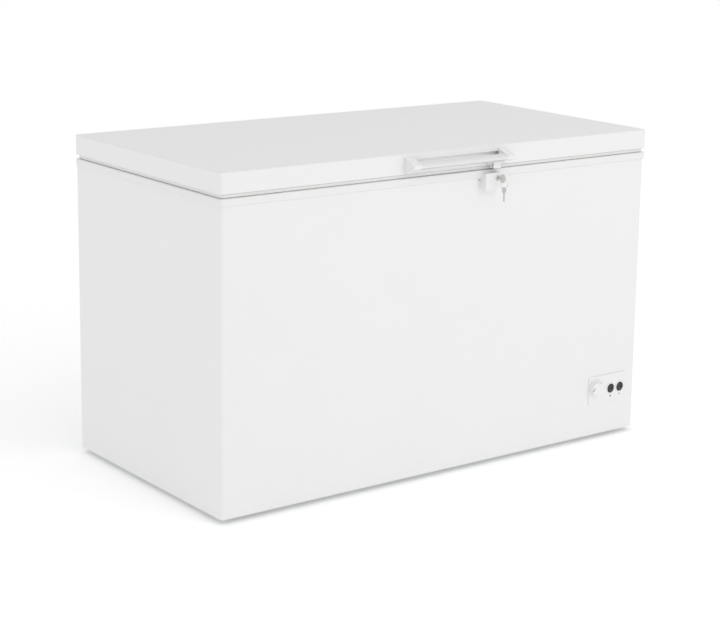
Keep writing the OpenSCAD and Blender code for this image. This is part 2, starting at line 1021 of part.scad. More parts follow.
module lid_foam() {
    color("khaki")
        difference() {
            union() {
                block(lid_w - 2 * sheet_t, lid_d - 2 * sheet_t, lid_corner_r - sheet_t, lid_z + 2,
                    total_h - sheet_t);
                plug_shape(2, lid_z - plug_h + 2, lid_z + 3);
            }
            handle_space(insert_d);
            handle_screws();
        }
}

module lid_liner() {
    color("whitesmoke")
        difference() {
            union() {
                block(lid_w - 2 * sheet_t, lid_d - 2 * sheet_t, lid_corner_r - sheet_t, lid_z, lid_z + 2);
                plug_shape(0, lid_z - plug_h, lid_z + 1);
            }
            plug_shape(2, lid_z - plug_h + 2, lid_z + 5);
            handle_space(insert_d);
        }
}

module lid_seal() {
    color("lightgray")
        difference() {
            block(lid_w - 2 * seal_inset, lid_d - 2 * seal_inset, lid_corner_r, rim_z + seal_gap, lid_z);
            block(lid_w - 2 * (seal_inset + seal_w), lid_d - 2 * (seal_inset + seal_w), 4, rim_z, lid_z + 1);
        }
}

// ---------------------------------------------------------------- handle and strike

module handle_base() {
    color("white")
        difference() {
            span([handle_x - handle_w / 2, lid_front - flange_out, lid_z],
                [handle_x + handle_w / 2, lid_front + insert_d, total_h - sheet_t]);
            span([handle_x - grip_w / 2 + 4, lid_front - 5, lip_z],
                [handle_x + grip_w / 2 - 4, lid_front + recess_d, cap_z]);
            span([-handle_w, lid_front - 5, lid_z - 1], [handle_w, lid_front, lid_z + flange_out]);
            strike_screw_places()
                cylinder(h = 20, r = 1.5, center = true);
        }
}

// The grip's section: a blunt nose with a sloping top
module grip_section() {
    hull() {
        translate([lid_front - grip_out + 6, lid_z + 23])
            circle(6, $fn = 32);
        translate([lid_front - grip_out + 17, lid_z + 29.5])
            circle(2, $fn = 32);
        translate([lid_front - grip_out + 16, lid_z + 21])
            circle(3, $fn = 32);
    }
}

module bracket_section() {
    hull() {
        grip_section();
        translate([lid_front - flange_out - 1, lid_z + 1])
            square([1, lid_t - 9]);
    }
}

module handle_brackets() {
    color("white")
        difference() {
            union() {
                along_x(handle_x - grip_w / 2, handle_x - grip_w / 2 + bracket_w)
                    bracket_section();
                along_x(handle_x + grip_w / 2 - bracket_w, handle_x + grip_w / 2)
                    bracket_section();
            }
            span([lock_x - 30, lid_front - lock_out - 1, lid_z - 10],
                [handle_x + grip_w / 2 + 1, lid_front + 1, strike_top]);
        }
}

module handle_grip() {
    color("white")
        along_x(handle_x - grip_w / 2 + bracket_w, handle_x + grip_w / 2 - bracket_w)
            grip_section();
}

module handle_screws() {
    color("silver")
        for (s = [-1, 1])
            translate([handle_x + s * (grip_w / 2 - bracket_w / 2), lid_front + insert_d + 2, lid_z + 30])
                rotate([-90, 0, 0])
                    screw(2, 4, 2, 2);
}

module strike_screw_places() {
    for (x = [lock_x - 23, lock_x + 14])
        translate([x, lid_front - flange_out - 2, lid_z + 5.5])
            rotate([90, 0, 0])
                children();
}

// Keeper under the handle: two cheeks, a roof and a mounting plate. The cam swings in through the
// notch in the left cheek, and its nose passes through the slot in the right one
module lock_strike() {
    x0 = lock_x - strike_w / 2 - 3;
    x1 = lock_x + strike_w / 2 - 3;
    bottom = lid_z - 6;
    back = lid_front - flange_out;
    color("white")
        difference() {
            union() {
                span([x0 - 12, back - 2, lid_z + 1], [x1 + 14, back, strike_top]);
                difference() {
                    span([x0, back - 18, bottom], [x1, back, strike_top]);
                    span([x0 + 2, back - 16, bottom - 1], [x1 - 2, back - 2, strike_top - 2]);
                }
            }
            span([x0 - 1, cam_y - 2.5, bottom - 1], [x0 + 3, cam_y + 2.5, strike_top - 5]);
            span([x1 - 3, cam_y - 2.5, lock_z + cam_reach - 9], [x1 + 1, cam_y + 2.5, strike_top - 2]);
            span([x0 - 1, back, lid_z - 10], [x1 + 1, back + 1, strike_top]);
            strike_screw_places()
                cylinder(h = 20, r = 1.5, center = true);
        }
}

// ---------------------------------------------------------------- lock

module lock_outline(inset) {
    w = lock_w - 2 * inset;
    h = lock_h - 2 * inset;
    translate([lock_left + lock_w / 2, lock_top - lock_h / 2])
        rounded_rect(w, h, 3 - min(inset, 2));
}

module lock_housing() {
    step_z = rim_z - rim_h;
    color("white")
        difference() {
            union() {
                along_y(lid_front - lock_out, lid_front)
                    lock_outline(0);
                intersection() {
                    along_y(lid_front - 1, body_front)
                        lock_outline(0);
                    span([0, lid_front - 2, 0], [lid_w, body_front, step_z]);
                }
                span([lock_left - 9, body_front - 2, step_z - 14], [lock_left + 1, body_front, step_z]);
                span([lock_left + lock_w - 1, body_front - 2, step_z - 14],
                    [lock_left + lock_w + 9, body_front, step_z]);
            }
            along_y(lid_front - lock_out + lock_wall, body_front + 1)
                lock_outline(lock_wall);
            translate([lock_x, lid_front, lock_z])
                rotate([90, 0, 0])
                    cylinder(h = 3 * lock_out, r = barrel_r + pin_clear);
            span([lock_left + lock_wall, cam_y - 2.5, lock_top - 4], [lock_x + 12, cam_y + 2.5, lock_top + 2]);
            lock_screw_places()
                cylinder(h = 20, r = 1.5, center = true);
        }
}

module lock_screw_places() {
    for (x = [lock_left - 4.5, lock_left + lock_w + 4.5])
        translate([x, body_front - 2, rim_z - rim_h - 7])
            rotate([90, 0, 0])
                children();
}

module lock_screws() {
    color("silver")
        lock_screw_places()
            translate([0, 0, 1.5])
                screw(1.5, 3, 1.5, 3.5);
}

module lock_barrel() {
    face = lid_front - lock_out;
    color("silver")
        difference() {
            union() {
                translate([lock_x, cam_y - cam_t / 2, lock_z])
                    rotate([90, 0, 0])
                        cylinder(h = cam_y - cam_t / 2 - face + 2, r = barrel_r);
                translate([lock_x, face - 0.3, lock_z])
                    rotate([90, 0, 0])
                        cylinder(h = 1.7, r = barrel_r + 2);
                translate([lock_x, cam_y + cam_t / 2 + 2, lock_z])
                    rotate([90, 0, 0])
                        cylinder(h = cam_t + 3, r = 3);
            }
            span([lock_x - 1, face - 5, lock_z - 3.5], [lock_x + 1, cam_y - cam_t / 2 - 1, lock_z + 3.5]);
        }
}

// Drawn in the unlocked place: the arm lies to the left with its nose up
module lock_cam() {
    color("gray")
        along_y(cam_y - cam_t / 2, cam_y + cam_t / 2)
            difference() {
                translate([lock_x, lock_z])
                    union() {
                        circle(7);
                        translate([-cam_reach, -cam_w / 2])
                            square([cam_reach, cam_w]);
                        translate([-cam_reach, 0])
                            square([6, cam_w / 2 + 5]);
                    }
                translate([lock_x, lock_z])
                    circle(3);
            }
}

module key() {
    face = lid_front - lock_out;
    color("silver")
        difference() {
            union() {
                span([lock_x - 1, bow_y, lock_z - 3.5], [lock_x + 1, cam_y - cam_t / 2 - 1, lock_z + 3.5]);
                along_x(lock_x - 1, lock_x + 1)
                    translate([bow_y, lock_z])
                        circle(key_bow_r);
            }
            along_x(lock_x - 2, lock_x + 2)
                translate([ring_y, lock_z])
                    circle(ring_hole_r);
            span([lock_x - 2, face - 1.99, lock_z + 3.6], [lock_x + 2, face + 20, lock_z + 20]);
        }
}

module key_ring() {
    color("silver")
        translate([lock_x, ring_y, ring_pivot_z - ring_r])
            rotate([90, 0, 0])
                rotate_extrude()
                    translate([ring_r, 0])
                        circle(ring_wire_r);
}

module spare_key() {
    hole_z = spare_pivot_z - 0.7;
    bow_z = hole_z - spare_bow_r + 3.8;
    color("dimgray")
        difference() {
            union() {
                along_x(lock_x - 1, lock_x + 1)
                    translate([ring_y, bow_z])
                        circle(spare_bow_r);
                span([lock_x - 1, ring_y - 3, bow_z - spare_bow_r - 21], [lock_x + 1, ring_y + 3, bow_z]);
            }
            along_x(lock_x - 2, lock_x + 2)
                translate([ring_y, hole_z])
                    circle(2);
            for (i = [0 : 3])
                span([lock_x - 2, ring_y + 1.6, bow_z - spare_bow_r - 17 + i * 4.4],
                    [lock_x + 2, ring_y + 4, bow_z - spare_bow_r - 15 + i * 4.4]);
        }
}

// ---------------------------------------------------------------- lamp

module lamp_housing() {
    z = lid_z - plug_h;
    color("white")
        difference() {
            span([-lamp_w / 2, mid_y - lamp_d / 2, z - lamp_drop + 4], [lamp_w / 2, mid_y + lamp_d / 2, z]);
            span([-lamp_w / 2 + 2, mid_y - lamp_d / 2 + 2, z - lamp_drop + 3],
                [lamp_w / 2 - 2, mid_y + lamp_d / 2 - 2, z - 1.5]);
        }
}

module lamp_lens() {
    z = lid_z - plug_h - lamp_drop;
    color("lightcyan")
        difference() {
            span([-lamp_w / 2, mid_y - lamp_d / 2, z], [lamp_w / 2, mid_y + lamp_d / 2, z + 4]);
            span([-lamp_w / 2 + 2, mid_y - lamp_d / 2 + 2, z + 2], [lamp_w / 2 - 2, mid_y + lamp_d / 2 - 2,
                z + 5]);
        }
}

module lamp_bulb() {
    color("lightyellow")
        translate([0, mid_y, lid_z - plug_h - lamp_drop + 6.2]) {
            rotate([0, 90, 0])
                cylinder(h = 60, r = 3, center = true);
            for (s = [-1, 1])
                translate([s * 36, 0, 0])
                    rotate([0, 90, 0])
                        cylinder(h = 14, r = 3.8, center = true);
        }
}

// ---------------------------------------------------------------- baskets

module basket(x) {
    long = basket_back - basket_front;
    translate([x, 0, 0])
        difference() {
            union() {
                block(basket_w, long, 20, basket_z - basket_h, basket_z + basket_rim_h);
                span([-basket_w / 2 + 30, liner_front - ledge_w + rim_t + 3, basket_z],
                    [basket_w / 2 - 30, liner_back + ledge_w - rim_t - 3, basket_z + basket_rim_h]);
            }
            block(basket_w - 2 * basket_t, long - 2 * basket_t, 20 - basket_t, basket_z - basket_h + basket_t,
                basket_z + basket_rim_h + 1);
        }
}

module basket_left() {
    color("white")
        basket(basket_lx);
}

module basket_right() {
    color("white")
        basket(basket_rx);
}

outer_wrap();
rear_panel();
base_pan();
cabinet_foam();
inner_liner();
top_frame();
machine_wall();
condenser_tube();
evaporator_tube();
compressor();
compressor_plate();
compressor_grommets();
compressor_bolts();
start_relay_cover();
filter_drier();
discharge_tube();
suction_tube();
wiring_harness();
rear_grille();
side_grille();
grille_screws();
mains_gland();
control_panel();
thermostat_body();
thermostat_bulb_tube();
rocker_housings();
drain_tube();
feet();
foot_screws();
hinge_brackets();
hinge_pins();
hinge_springs();
hinge_screws();
lock_housing();
lock_screws();
lid_skin();
lid_foam();
lid_liner();
lid_seal();
handle_base();
handle_brackets();
handle_grip();
handle_screws();
lock_strike();
hinge_leaves();
leaf_screws();
lamp_housing();
lamp_lens();
lamp_bulb();
lock_barrel();
lock_cam();
key();
key_ring();
spare_key();
thermostat_knob();
rocker_left();
rocker_right();
basket_left();
basket_right();
drain_plug();
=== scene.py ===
import math

import bmesh
import bpy
from mathutils import Euler, Matrix, Vector


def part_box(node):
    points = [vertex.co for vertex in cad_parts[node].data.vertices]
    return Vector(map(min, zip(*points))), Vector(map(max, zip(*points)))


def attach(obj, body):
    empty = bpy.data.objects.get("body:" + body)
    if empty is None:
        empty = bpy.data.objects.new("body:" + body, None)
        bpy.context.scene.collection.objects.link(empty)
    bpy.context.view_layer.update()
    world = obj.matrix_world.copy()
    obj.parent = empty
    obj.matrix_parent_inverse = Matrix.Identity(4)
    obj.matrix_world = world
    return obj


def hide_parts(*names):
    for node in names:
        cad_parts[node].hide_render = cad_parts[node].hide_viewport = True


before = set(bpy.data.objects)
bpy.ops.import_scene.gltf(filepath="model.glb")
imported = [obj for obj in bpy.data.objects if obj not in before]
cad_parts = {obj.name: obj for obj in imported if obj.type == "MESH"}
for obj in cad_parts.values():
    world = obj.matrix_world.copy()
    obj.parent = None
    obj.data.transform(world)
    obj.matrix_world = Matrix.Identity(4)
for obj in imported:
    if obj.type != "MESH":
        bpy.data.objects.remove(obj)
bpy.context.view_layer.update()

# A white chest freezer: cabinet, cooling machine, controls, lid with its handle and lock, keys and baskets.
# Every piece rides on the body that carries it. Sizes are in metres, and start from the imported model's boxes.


# ---------------------------------------------------------------- studio
# A photographer's table: a wide pale floor that glows a little, as a lit sweep does, an even white surround,
# and one big soft lamp in front of the freezer. The camera stands to the left, at a standing person's height.

def linear(hex_colour):
    """An sRGB hex colour as the linear one that a shader takes."""
    parts = [int(hex_colour[i:i + 2], 16) / 255 for i in (1, 3, 5)]
    return [c / 12.92 if c <= 0.04045 else ((c + 0.055) / 1.055) ** 2.4 for c in parts] + [1.0]


def add(tree, kind, wires=None, **settings):
    """Adds one node: settings are its own fields, and wires gives each socket a value or other outputs."""
    made = tree.nodes.new(kind)
    for field, value in settings.items():
        setattr(made, field, value)
    for socket, value in (wires or {}).items():
        several = isinstance(value, list) and isinstance(value[0], bpy.types.NodeSocket)
        for one in value if several else [value]:
            if isinstance(one, bpy.types.NodeSocket):
                tree.links.new(one, made.inputs[socket])
            else:
                made.inputs[socket].default_value = one
    return made


def new_finish(name, colour, roughness, ior=1.5, metallic=0.0):
    """A material with one Principled shader. Returns the material, its tree and the shader."""
    material = bpy.data.materials.new(name)
    material.use_nodes = True
    material.node_tree.nodes.clear()
    shader = add(material.node_tree, "ShaderNodeBsdfPrincipled", {
        "Base Color": linear(colour), "Roughness": roughness, "IOR": ior, "Metallic": metallic})
    add(material.node_tree, "ShaderNodeOutputMaterial", {"Surface": shader.outputs["BSDF"]})
    return material, material.node_tree, shader


def drive(shader, source, tones=None, gloss=None, relief=None):
    """Lets one pattern steer a shader, each where it is given: between two tones, between two values of
    roughness, and over a relief of (strength, height in metres)."""
    tree = shader.id_data
    if tones:
        tone = add(tree, "ShaderNodeMix", {0: source, 6: linear(tones[0]), 7: linear(tones[1])},
            data_type="RGBA")
        tree.links.new(tone.outputs[2], shader.inputs["Base Color"])
    if gloss:
        rough = add(tree, "ShaderNodeMapRange", {"Value": source, "To Min": gloss[0], "To Max": gloss[1]})
        tree.links.new(rough.outputs["Result"], shader.inputs["Roughness"])
    if relief:
        bump = add(tree, "ShaderNodeBump", {"Height": source, "Strength": relief[0], "Distance": relief[1]})
        tree.links.new(bump.outputs["Normal"], shader.inputs["Normal"])


def clouded(name, colour, roughness, scale, detail, tones=None, gloss=None, relief=None, **kind):
    """A finish steered by one noise, with that many clouds to the metre. Returns the material."""
    material, tree, shader = new_finish(name, colour, roughness, **kind)
    where = add(tree, "ShaderNodeTexCoord")
    noise = add(tree, "ShaderNodeTexNoise", {"Vector": where.outputs["Object"], "Scale": scale,
        "Detail": detail})
    drive(shader, noise.outputs["Fac"], tones, gloss, relief)
    return material


camera = bpy.data.objects.new("camera", bpy.data.cameras.new("camera"))
camera.data.sensor_width = 36
camera.data.lens = 93.95
camera.data.shift_x = -0.0556
camera.data.shift_y = -0.0847
camera.location = (-2.938, -3.934, 1.570)
camera.rotation_euler = (Euler((0, 0, math.radians(-37.70))).to_matrix()
    @ Euler((math.radians(78.09), 0, 0)).to_matrix()
    @ Euler((0, 0, math.radians(1.02))).to_matrix()).to_euler()
bpy.context.scene.collection.objects.link(camera)
bpy.context.scene.camera = camera
bpy.context.scene.view_settings.view_transform = "Standard"

surround = bpy.data.worlds.new("white_surround")
surround.use_nodes = True
surround.node_tree.nodes["Background"].inputs["Color"].default_value = linear("#FFFFFF")
surround.node_tree.nodes["Background"].inputs["Strength"].default_value = 0.816
bpy.context.scene.world = surround

# Painted board, matt, with the faint cloudiness of a rolled coat
board = clouded("painted_studio_board", "#FAFAFA", 0.85, 1.5, 2.0, ("#F9F9F9", "#FCFCFC"))
glow = board.node_tree.nodes["Principled BSDF"].inputs
glow["Emission Color"].default_value = linear("#FFFFFF")
glow["Emission Strength"].default_value = 0.215
floor_mesh = bpy.data.meshes.new("floor")
floor_mesh.from_pydata([(-40, -40, 0), (40, -40, 0), (40, 40, 0), (-40, 40, 0)], [], [(0, 1, 2, 3)])
floor_mesh.materials.append(board)
floor = bpy.data.objects.new("floor", floor_mesh)
bpy.context.scene.collection.objects.link(floor)

softbox = bpy.data.objects.new("front_softbox", bpy.data.lights.new("front_softbox", "AREA"))
softbox.data.size = 1.8
softbox.data.energy = 12
softbox.location = (0.5, -2.7, 2.5)
softbox.rotation_euler = (Vector((0.2, -0.34, 0.75)) - softbox.location).to_track_quat("-Z", "Y").to_euler()
bpy.context.scene.collection.objects.link(softbox)


# ---------------------------------------------------------------- outer shell
# The front and both ends are one sheet of 0.8 mm prepainted steel, folded round the front corners and foamed
# solid behind. The coat is rolled on white polyester: half gloss, with a slight orange peel, on a sheet that
# the foam leaves a little wavy.

def broad_skin(work, name, crease=35, ease=0.0, segments=2):
    """Turns a worked shape into a mesh: faces outward, edges eased to a real radius, broad faces flat."""
    bmesh.ops.recalc_face_normals(work, faces=work.faces)
    mesh = bpy.data.meshes.new(name)
    work.to_mesh(mesh)
    work.free()
    mesh.shade_smooth()
    mesh.set_sharp_from_angle(angle=math.radians(crease))
    blank = bpy.data.objects.new(name, mesh)
    bpy.context.scene.collection.objects.link(blank)
    if ease:
        round_off = blank.modifiers.new("ease", "BEVEL")
        round_off.width = ease
        round_off.segments = segments
        round_off.limit_method = "ANGLE"
        round_off.angle_limit = math.radians(crease)
        round_off.use_clamp_overlap = False
    blank.modifiers.new("flat", "WEIGHTED_NORMAL").keep_sharp = True
    done = settled(blank)
    bpy.data.objects.remove(blank)
    return done


def settled(blank):
    """The mesh that an object's modifiers give, as a plain mesh."""
    seen = blank.evaluated_get(bpy.context.evaluated_depsgraph_get())
    return bpy.data.meshes.new_from_object(seen)


def cad_shape(node):
    """A CAD piece's shape as one joined shape, to be worked on."""
    work = bmesh.new()
    work.from_mesh(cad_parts[node].data)
    bmesh.ops.remove_doubles(work, verts=work.verts, dist=2e-6)
    bmesh.ops.dissolve_limit(work, angle_limit=math.radians(0.5), verts=work.verts, edges=work.edges)
    plain = bmesh.new()
    corners = [plain.verts.new(v.co) for v in work.verts]
    for face in work.faces:
        plain.faces.new([corners[v.index] for v in face.verts])
    work.free()
    return plain


def fit(name, mesh, material, body, slot, *nodes):
    """Puts a finished mesh on its body, in place of the CAD nodes that it stands for."""
    mesh.materials.clear()
    mesh.materials.append(material)
    piece = bpy.data.objects.new(name, mesh)
    bpy.context.scene.collection.objects.link(piece)
    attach(piece, body)
    if nodes:
        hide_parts(*nodes)


def eased_copy(node, name, material, body, slot, crease=35, ease=0.0, segments=2):
    """Fits a copy of a CAD node's own shape in its place, with its edges eased."""
    fit(name, broad_skin(cad_shape(node), name, crease, ease, segments), material, body, slot, node)


# Coil-coated steel: peel about 2 mm across, and waves about 160 mm long where the foam has pulled the sheet
enamel, tree, shader = new_finish("prepainted_steel_white", "#EDEDED", 0.33)
where = add(tree, "ShaderNodeTexCoord")
waves = add(tree, "ShaderNodeTexNoise", {"Vector": where.outputs["Object"], "Scale": 6.0, "Detail": 1.0})
peel = add(tree, "ShaderNodeTexNoise", {"Vector": where.outputs["Object"], "Scale": 480.0, "Detail": 2.0})
drive(shader, waves.outputs["Fac"], ("#ECECEC", "#EEEEEE"), (0.29, 0.37))
swell = add(tree, "ShaderNodeBump", {"Height": waves.outputs["Fac"], "Strength": 1.0, "Distance": 0.0004})
bump = add(tree, "ShaderNodeBump", {"Height": peel.outputs["Fac"], "Normal": swell.outputs["Normal"],
    "Strength": 0.5, "Distance": 0.00002})
tree.links.new(bump.outputs["Normal"], shader.inputs["Normal"])
eased_copy("outer_wrap", "shell_sheet", enamel, "cabinet", "shell_enamel")


# ---------------------------------------------------------------- back, base and machine wall
# The back, the base pan and the wall of the machine compartment are bare hot-dip galvanised sheet, which is
# cheaper than painted sheet and isn't seen in use. The zinc freezes in flat crystals about 12 mm across.

spangle, tree, shader = new_finish("hot_dip_galvanised_steel", "#B9BDC0", 0.42, metallic=0.85)
where = add(tree, "ShaderNodeTexCoord")
crystal = add(tree, "ShaderNodeTexVoronoi", {"Vector": where.outputs["Object"], "Scale": 85.0})
facing = add(tree, "ShaderNodeSeparateColor", {"Color": crystal.outputs["Color"]})
drive(shader, facing.outputs[0], ("#B2B6B9", "#C4C7C9"))
drive(shader, facing.outputs[1], gloss=(0.36, 0.48))
eased_copy("rear_panel", "back_sheet", spangle, "cabinet", "rear_steel")
for node, name in (("base_pan", "base_sheet"), ("machine_wall", "machine_sheet"),
        ("compressor_plate", "compressor_rail")):
    eased_copy(node, name, spangle, "cabinet", "galvanised")


# ---------------------------------------------------------------- foam
# Rigid polyurethane foam, blown in place between the shell and the liner, and in the lid. It is closed-cell,
# pale yellow and matt, with cells under a millimetre that show here as a fine mottle.

foam, tree, shader = new_finish("polyurethane_foam_blown", "#E6D9A8", 0.9, ior=1.4)
where = add(tree, "ShaderNodeTexCoord")
cells = add(tree, "ShaderNodeTexVoronoi", {"Vector": where.outputs["Object"], "Scale": 900.0})
drive(shader, cells.outputs["Distance"], ("#EADFB2", "#D5C68E"), relief=(1.0, 0.0003))
for node in ("cabinet_foam", "lid_foam"):
    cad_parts[node].material_slots[0].material = foam


# ---------------------------------------------------------------- storage liner
# The well is aluminium sheet, rolled with a stucco pattern that hides dents, folded to the tub's shape and
# clear lacquered. The pattern's pillows are about 5 mm across and 0.3 mm deep.

stucco, tree, shader = new_finish("stucco_aluminium_lacquered", "#D9DBDD", 0.34, metallic=0.9)
where = add(tree, "ShaderNodeTexCoord")
pillow = add(tree, "ShaderNodeTexVoronoi", {"Vector": where.outputs["Object"], "Scale": 190.0,
    "Randomness": 0.8}, feature="SMOOTH_F1")
drive(shader, pillow.outputs["Distance"], ("#E2E4E5", "#C9CCCE"), relief=(0.6, 0.0006))
eased_copy("inner_liner", "well_sheet", stucco, "cabinet", "liner_aluminium")


# ---------------------------------------------------------------- refrigerant pipes
# Soft-drawn copper tube: the condenser loops behind the shell, the evaporator round the well, the discharge
# and suction lines of the compressor, the thermostat's capillary, and the spun filter drier. Handling leaves
# brown patches of tarnish a few centimetres long.

copper = clouded("copper_tube_soft_drawn", "#C77F5A", 0.3, 35.0, 4.0, ("#D98E66", "#8E5539"),
    (0.2, 0.5), metallic=1.0)
for node in ("condenser_tube", "evaporator_tube", "thermostat_bulb_tube"):
    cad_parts[node].material_slots[0].material = copper


def bent_pipe(name, corners, bend, radius):
    """A round pipe through corner points, its bends drawn to one radius as a bending tool makes them."""
    corners, steps = [Vector(corner) for corner in corners], 8
    path = [corners[0]]
    for before, at, after in zip(corners, corners[1:], corners[2:]):
        reach = min(bend, (before - at).length * 0.45, (after - at).length * 0.45)
        enter, leave = at + (before - at).normalized() * reach, at + (after - at).normalized() * reach
        for i in range(steps + 1):
            t = i / steps
            path.append((1 - t) ** 2 * enter + 2 * t * (1 - t) * at + t ** 2 * leave)
    path.append(corners[-1])
    line = bpy.data.curves.new(name, "CURVE")
    line.dimensions = "3D"
    line.bevel_depth = radius
    line.bevel_resolution = 3
    line.use_fill_caps = True
    spline = line.splines.new("POLY")
    spline.points.add(len(path) - 1)
    for point, co in zip(spline.points, path):
        point.co = (*co, 1)
    blank = bpy.data.objects.new(name, line)
    bpy.context.scene.collection.objects.link(blank)
    mesh = settled(blank)
    bpy.data.objects.remove(blank)
    mesh.shade_smooth()
    mesh.set_sharp_from_angle(angle=math.radians(50))
    return mesh


pot_low, pot_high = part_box("compressor")
pot_x, pot_y = (pot_low.x + pot_high.x) / 2, (pot_low.y + pot_high.y) / 2
dry_low, dry_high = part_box("filter_drier")
dry_x, dry_y = (dry_low.x + dry_high.x) / 2, (dry_low.y + dry_high.y) / 2
hot_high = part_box("discharge_tube")[1]
cold_low, cold_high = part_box("suction_tube")
bend_r, let_in = 0.018, 0.002
hot_x, cold_x = pot_x + 0.030, pot_x - 0.040
pipe_r = hot_high.x - hot_x
hot_z, cold_z = hot_high.z - pipe_r, pot_high.z + 0.016
back_x, back_y = cold_low.x + pipe_r, cold_high.y - pipe_r
fit("discharge_pipe", bent_pipe("discharge_pipe", [(hot_x, pot_y, pot_high.z - let_in), (hot_x, pot_y, hot_z),
    (hot_x, dry_y, hot_z), (dry_x, dry_y, hot_z), (dry_x, dry_y, dry_high.z - let_in)], bend_r, pipe_r),
    copper, "cabinet", "copper", "discharge_tube")
fit("suction_pipe", bent_pipe("suction_pipe", [(cold_x, pot_y, pot_high.z - let_in), (cold_x, pot_y, cold_z),
    (cold_x, back_y, cold_z), (back_x, back_y, cold_z), (back_x, back_y, cold_high.z)], bend_r, pipe_r),
    copper, "cabinet", "copper", "suction_tube")


def turned(work, profile, foot, axis, steps=40):
    """Turns a profile of (radius, height) points about an axis that starts at foot, as on a lathe."""
    axis = Vector(axis).normalized()
    side = axis.orthogonal().normalized()
    other = axis.cross(side)
    rows = []
    for radius, height in profile:
        middle = Vector(foot) + axis * height
        if radius < 1e-6:
            rows.append([work.verts.new(middle)])
            continue
        turn = [2 * math.pi * i / steps for i in range(steps)]
        rows.append([work.verts.new(middle + radius * (side * math.cos(a) + other * math.sin(a)))
            for a in turn])
    for low, high in zip(rows, rows[1:]):
        for i in range(steps):
            j = (i + 1) % steps
            ring = [low[i % len(low)], low[j % len(low)], high[j % len(high)], high[i % len(high)]]
            work.faces.new(list(dict.fromkeys(ring)))
    for row in (rows[0], rows[-1]):
        if len(row) > 1:
            work.faces.new(row)


work = bmesh.new()
drier_r, drier_h = (dry_high.x - dry_low.x) / 2, dry_high.z - dry_low.z
turned(work, [(0.0032, 0), (0.0040, 0.004), (0.0060, 0.010), (drier_r, 0.018), (drier_r, 0.100),
    (0.0060, 0.108), (0.0040, 0.114), (0.0032, drier_h)], (dry_x, dry_y, dry_low.z), (0, 0, 1), 32)
fit("drier_bottle", broad_skin(work, "drier_bottle"), copper, "cabinet", "copper", "filter_drier")


# ---------------------------------------------------------------- compressor
# A hermetic compressor: two drawn steel bowls, lapped and welded round the middle, on two welded rails. It is
# dip-painted black, which runs smooth and glossy, and stands on rubber grommets bolted to the machine's rail.

black_paint = clouded("black_dip_paint", "#0E0E0F", 0.22, 60.0, 5.0, ("#0B0B0C", "#1B1B1C"),
    (0.14, 0.38))
eased_copy("compressor", "compressor_pot", black_paint, "cabinet", "compressor_paint", 30)

# The lap of the two bowls, with its weld bead
pot_r = (pot_high.y - pot_low.y) / 2
lap_z = (pot_high.z + pot_low.z) / 2 + 0.004
work = bmesh.new()
turned(work, [(pot_r + out, up) for out, up in ((-0.001, 0), (0.0018, 0.0008), (0.0026, 0.003),
    (0.0018, 0.0052), (0.0008, 0.006), (0.0006, 0.012), (-0.001, 0.013))], (pot_x, pot_y, lap_z),
    (0, 0, 1), 72)
fit("compressor_weld", broad_skin(work, "compressor_weld"), black_paint, "cabinet", "compressor_paint")

# Moulded natural rubber: matt and a little bloomed
rubber = clouded("black_rubber_moulded", "#1A1A1A", 0.75, 140.0, 3.0, ("#151515", "#292929"),
    relief=(0.3, 0.0002), ior=1.52)
eased_copy("compressor_grommets", "grommets", rubber, "cabinet", "black_rubber", 30, 0.0006)

# Zinc-plated steel fasteners and brackets: a bright bluish coat with a faint brushed haze
zinc = clouded("zinc_plated_steel", "#C3C6C9", 0.3, 220.0, 4.0, ("#B4B8BC", "#D0D3D6"), (0.22, 0.4),
    metallic=1.0)
eased_copy("compressor_bolts", "compressor_nuts", zinc, "cabinet", "zinc_steel", 30, 0.0004)


# ---------------------------------------------------------------- start relay cover and wiring
# A black polypropylene cover snaps over the compressor's terminals. The supply and lamp wires run from it to
# the controls in one sleeve of black PVC. Polypropylene has a soft satin skin with a fine moulded grain.

def moulded(name, colour, other, roughness, ior, grain, depth):
    """Injection-moulded plastic: a grain of that size and depth in metres, and a faint mottle of flow."""
    material, tree, shader = new_finish(name, colour, roughness, ior)
    where = add(tree, "ShaderNodeTexCoord").outputs["Object"]
    flow = add(tree, "ShaderNodeTexNoise", {"Vector": where, "Scale": 18.0, "Detail": 3.0})
    spark = add(tree, "ShaderNodeTexNoise", {"Vector": where, "Scale": 1.0 / grain, "Detail": 2.0})
    drive(shader, flow.outputs["Fac"], (colour, other), (roughness - 0.05, roughness + 0.05))
    drive(shader, spark.outputs["Fac"], relief=(0.4, depth))
    return material


black_pp = moulded("black_polypropylene_moulded", "#161616", "#202020", 0.5, 1.49, 0.0008, 0.00005)
eased_copy("start_relay_cover", "relay_cover", black_pp, "cabinet", "black_plastic", 35, 0.0012, 3)
wire_low, wire_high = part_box("wiring_harness")
sleeve_r, sleeve_bend = 0.0035, 0.03
near_x, near_y, run_z = wire_low.x + sleeve_r, wire_low.y + sleeve_r, wire_high.z - sleeve_r
fit("wire_sleeve", bent_pipe("wire_sleeve", [(pot_x, wire_high.y, run_z), (pot_x, near_y, run_z),
    (near_x, near_y, run_z), (near_x, near_y, wire_low.z)], sleeve_bend, sleeve_r), black_pp, "cabinet",
    "black_plastic", "wiring_harness")


# ---------------------------------------------------------------- grilles, their screws and the cord's gland
# The machine breathes through a black polypropylene grille behind and a white one in the right end. Angled
# louvres stand behind their slots, so that nothing can be pushed in. Pan-head screws with cross recesses hold
# them, and a nylon gland in the rear one takes the cord.

white_abs = moulded("white_abs_moulded", "#EEEEEE", "#ECECEC", 0.36, 1.53, 0.0011, 0.00003)


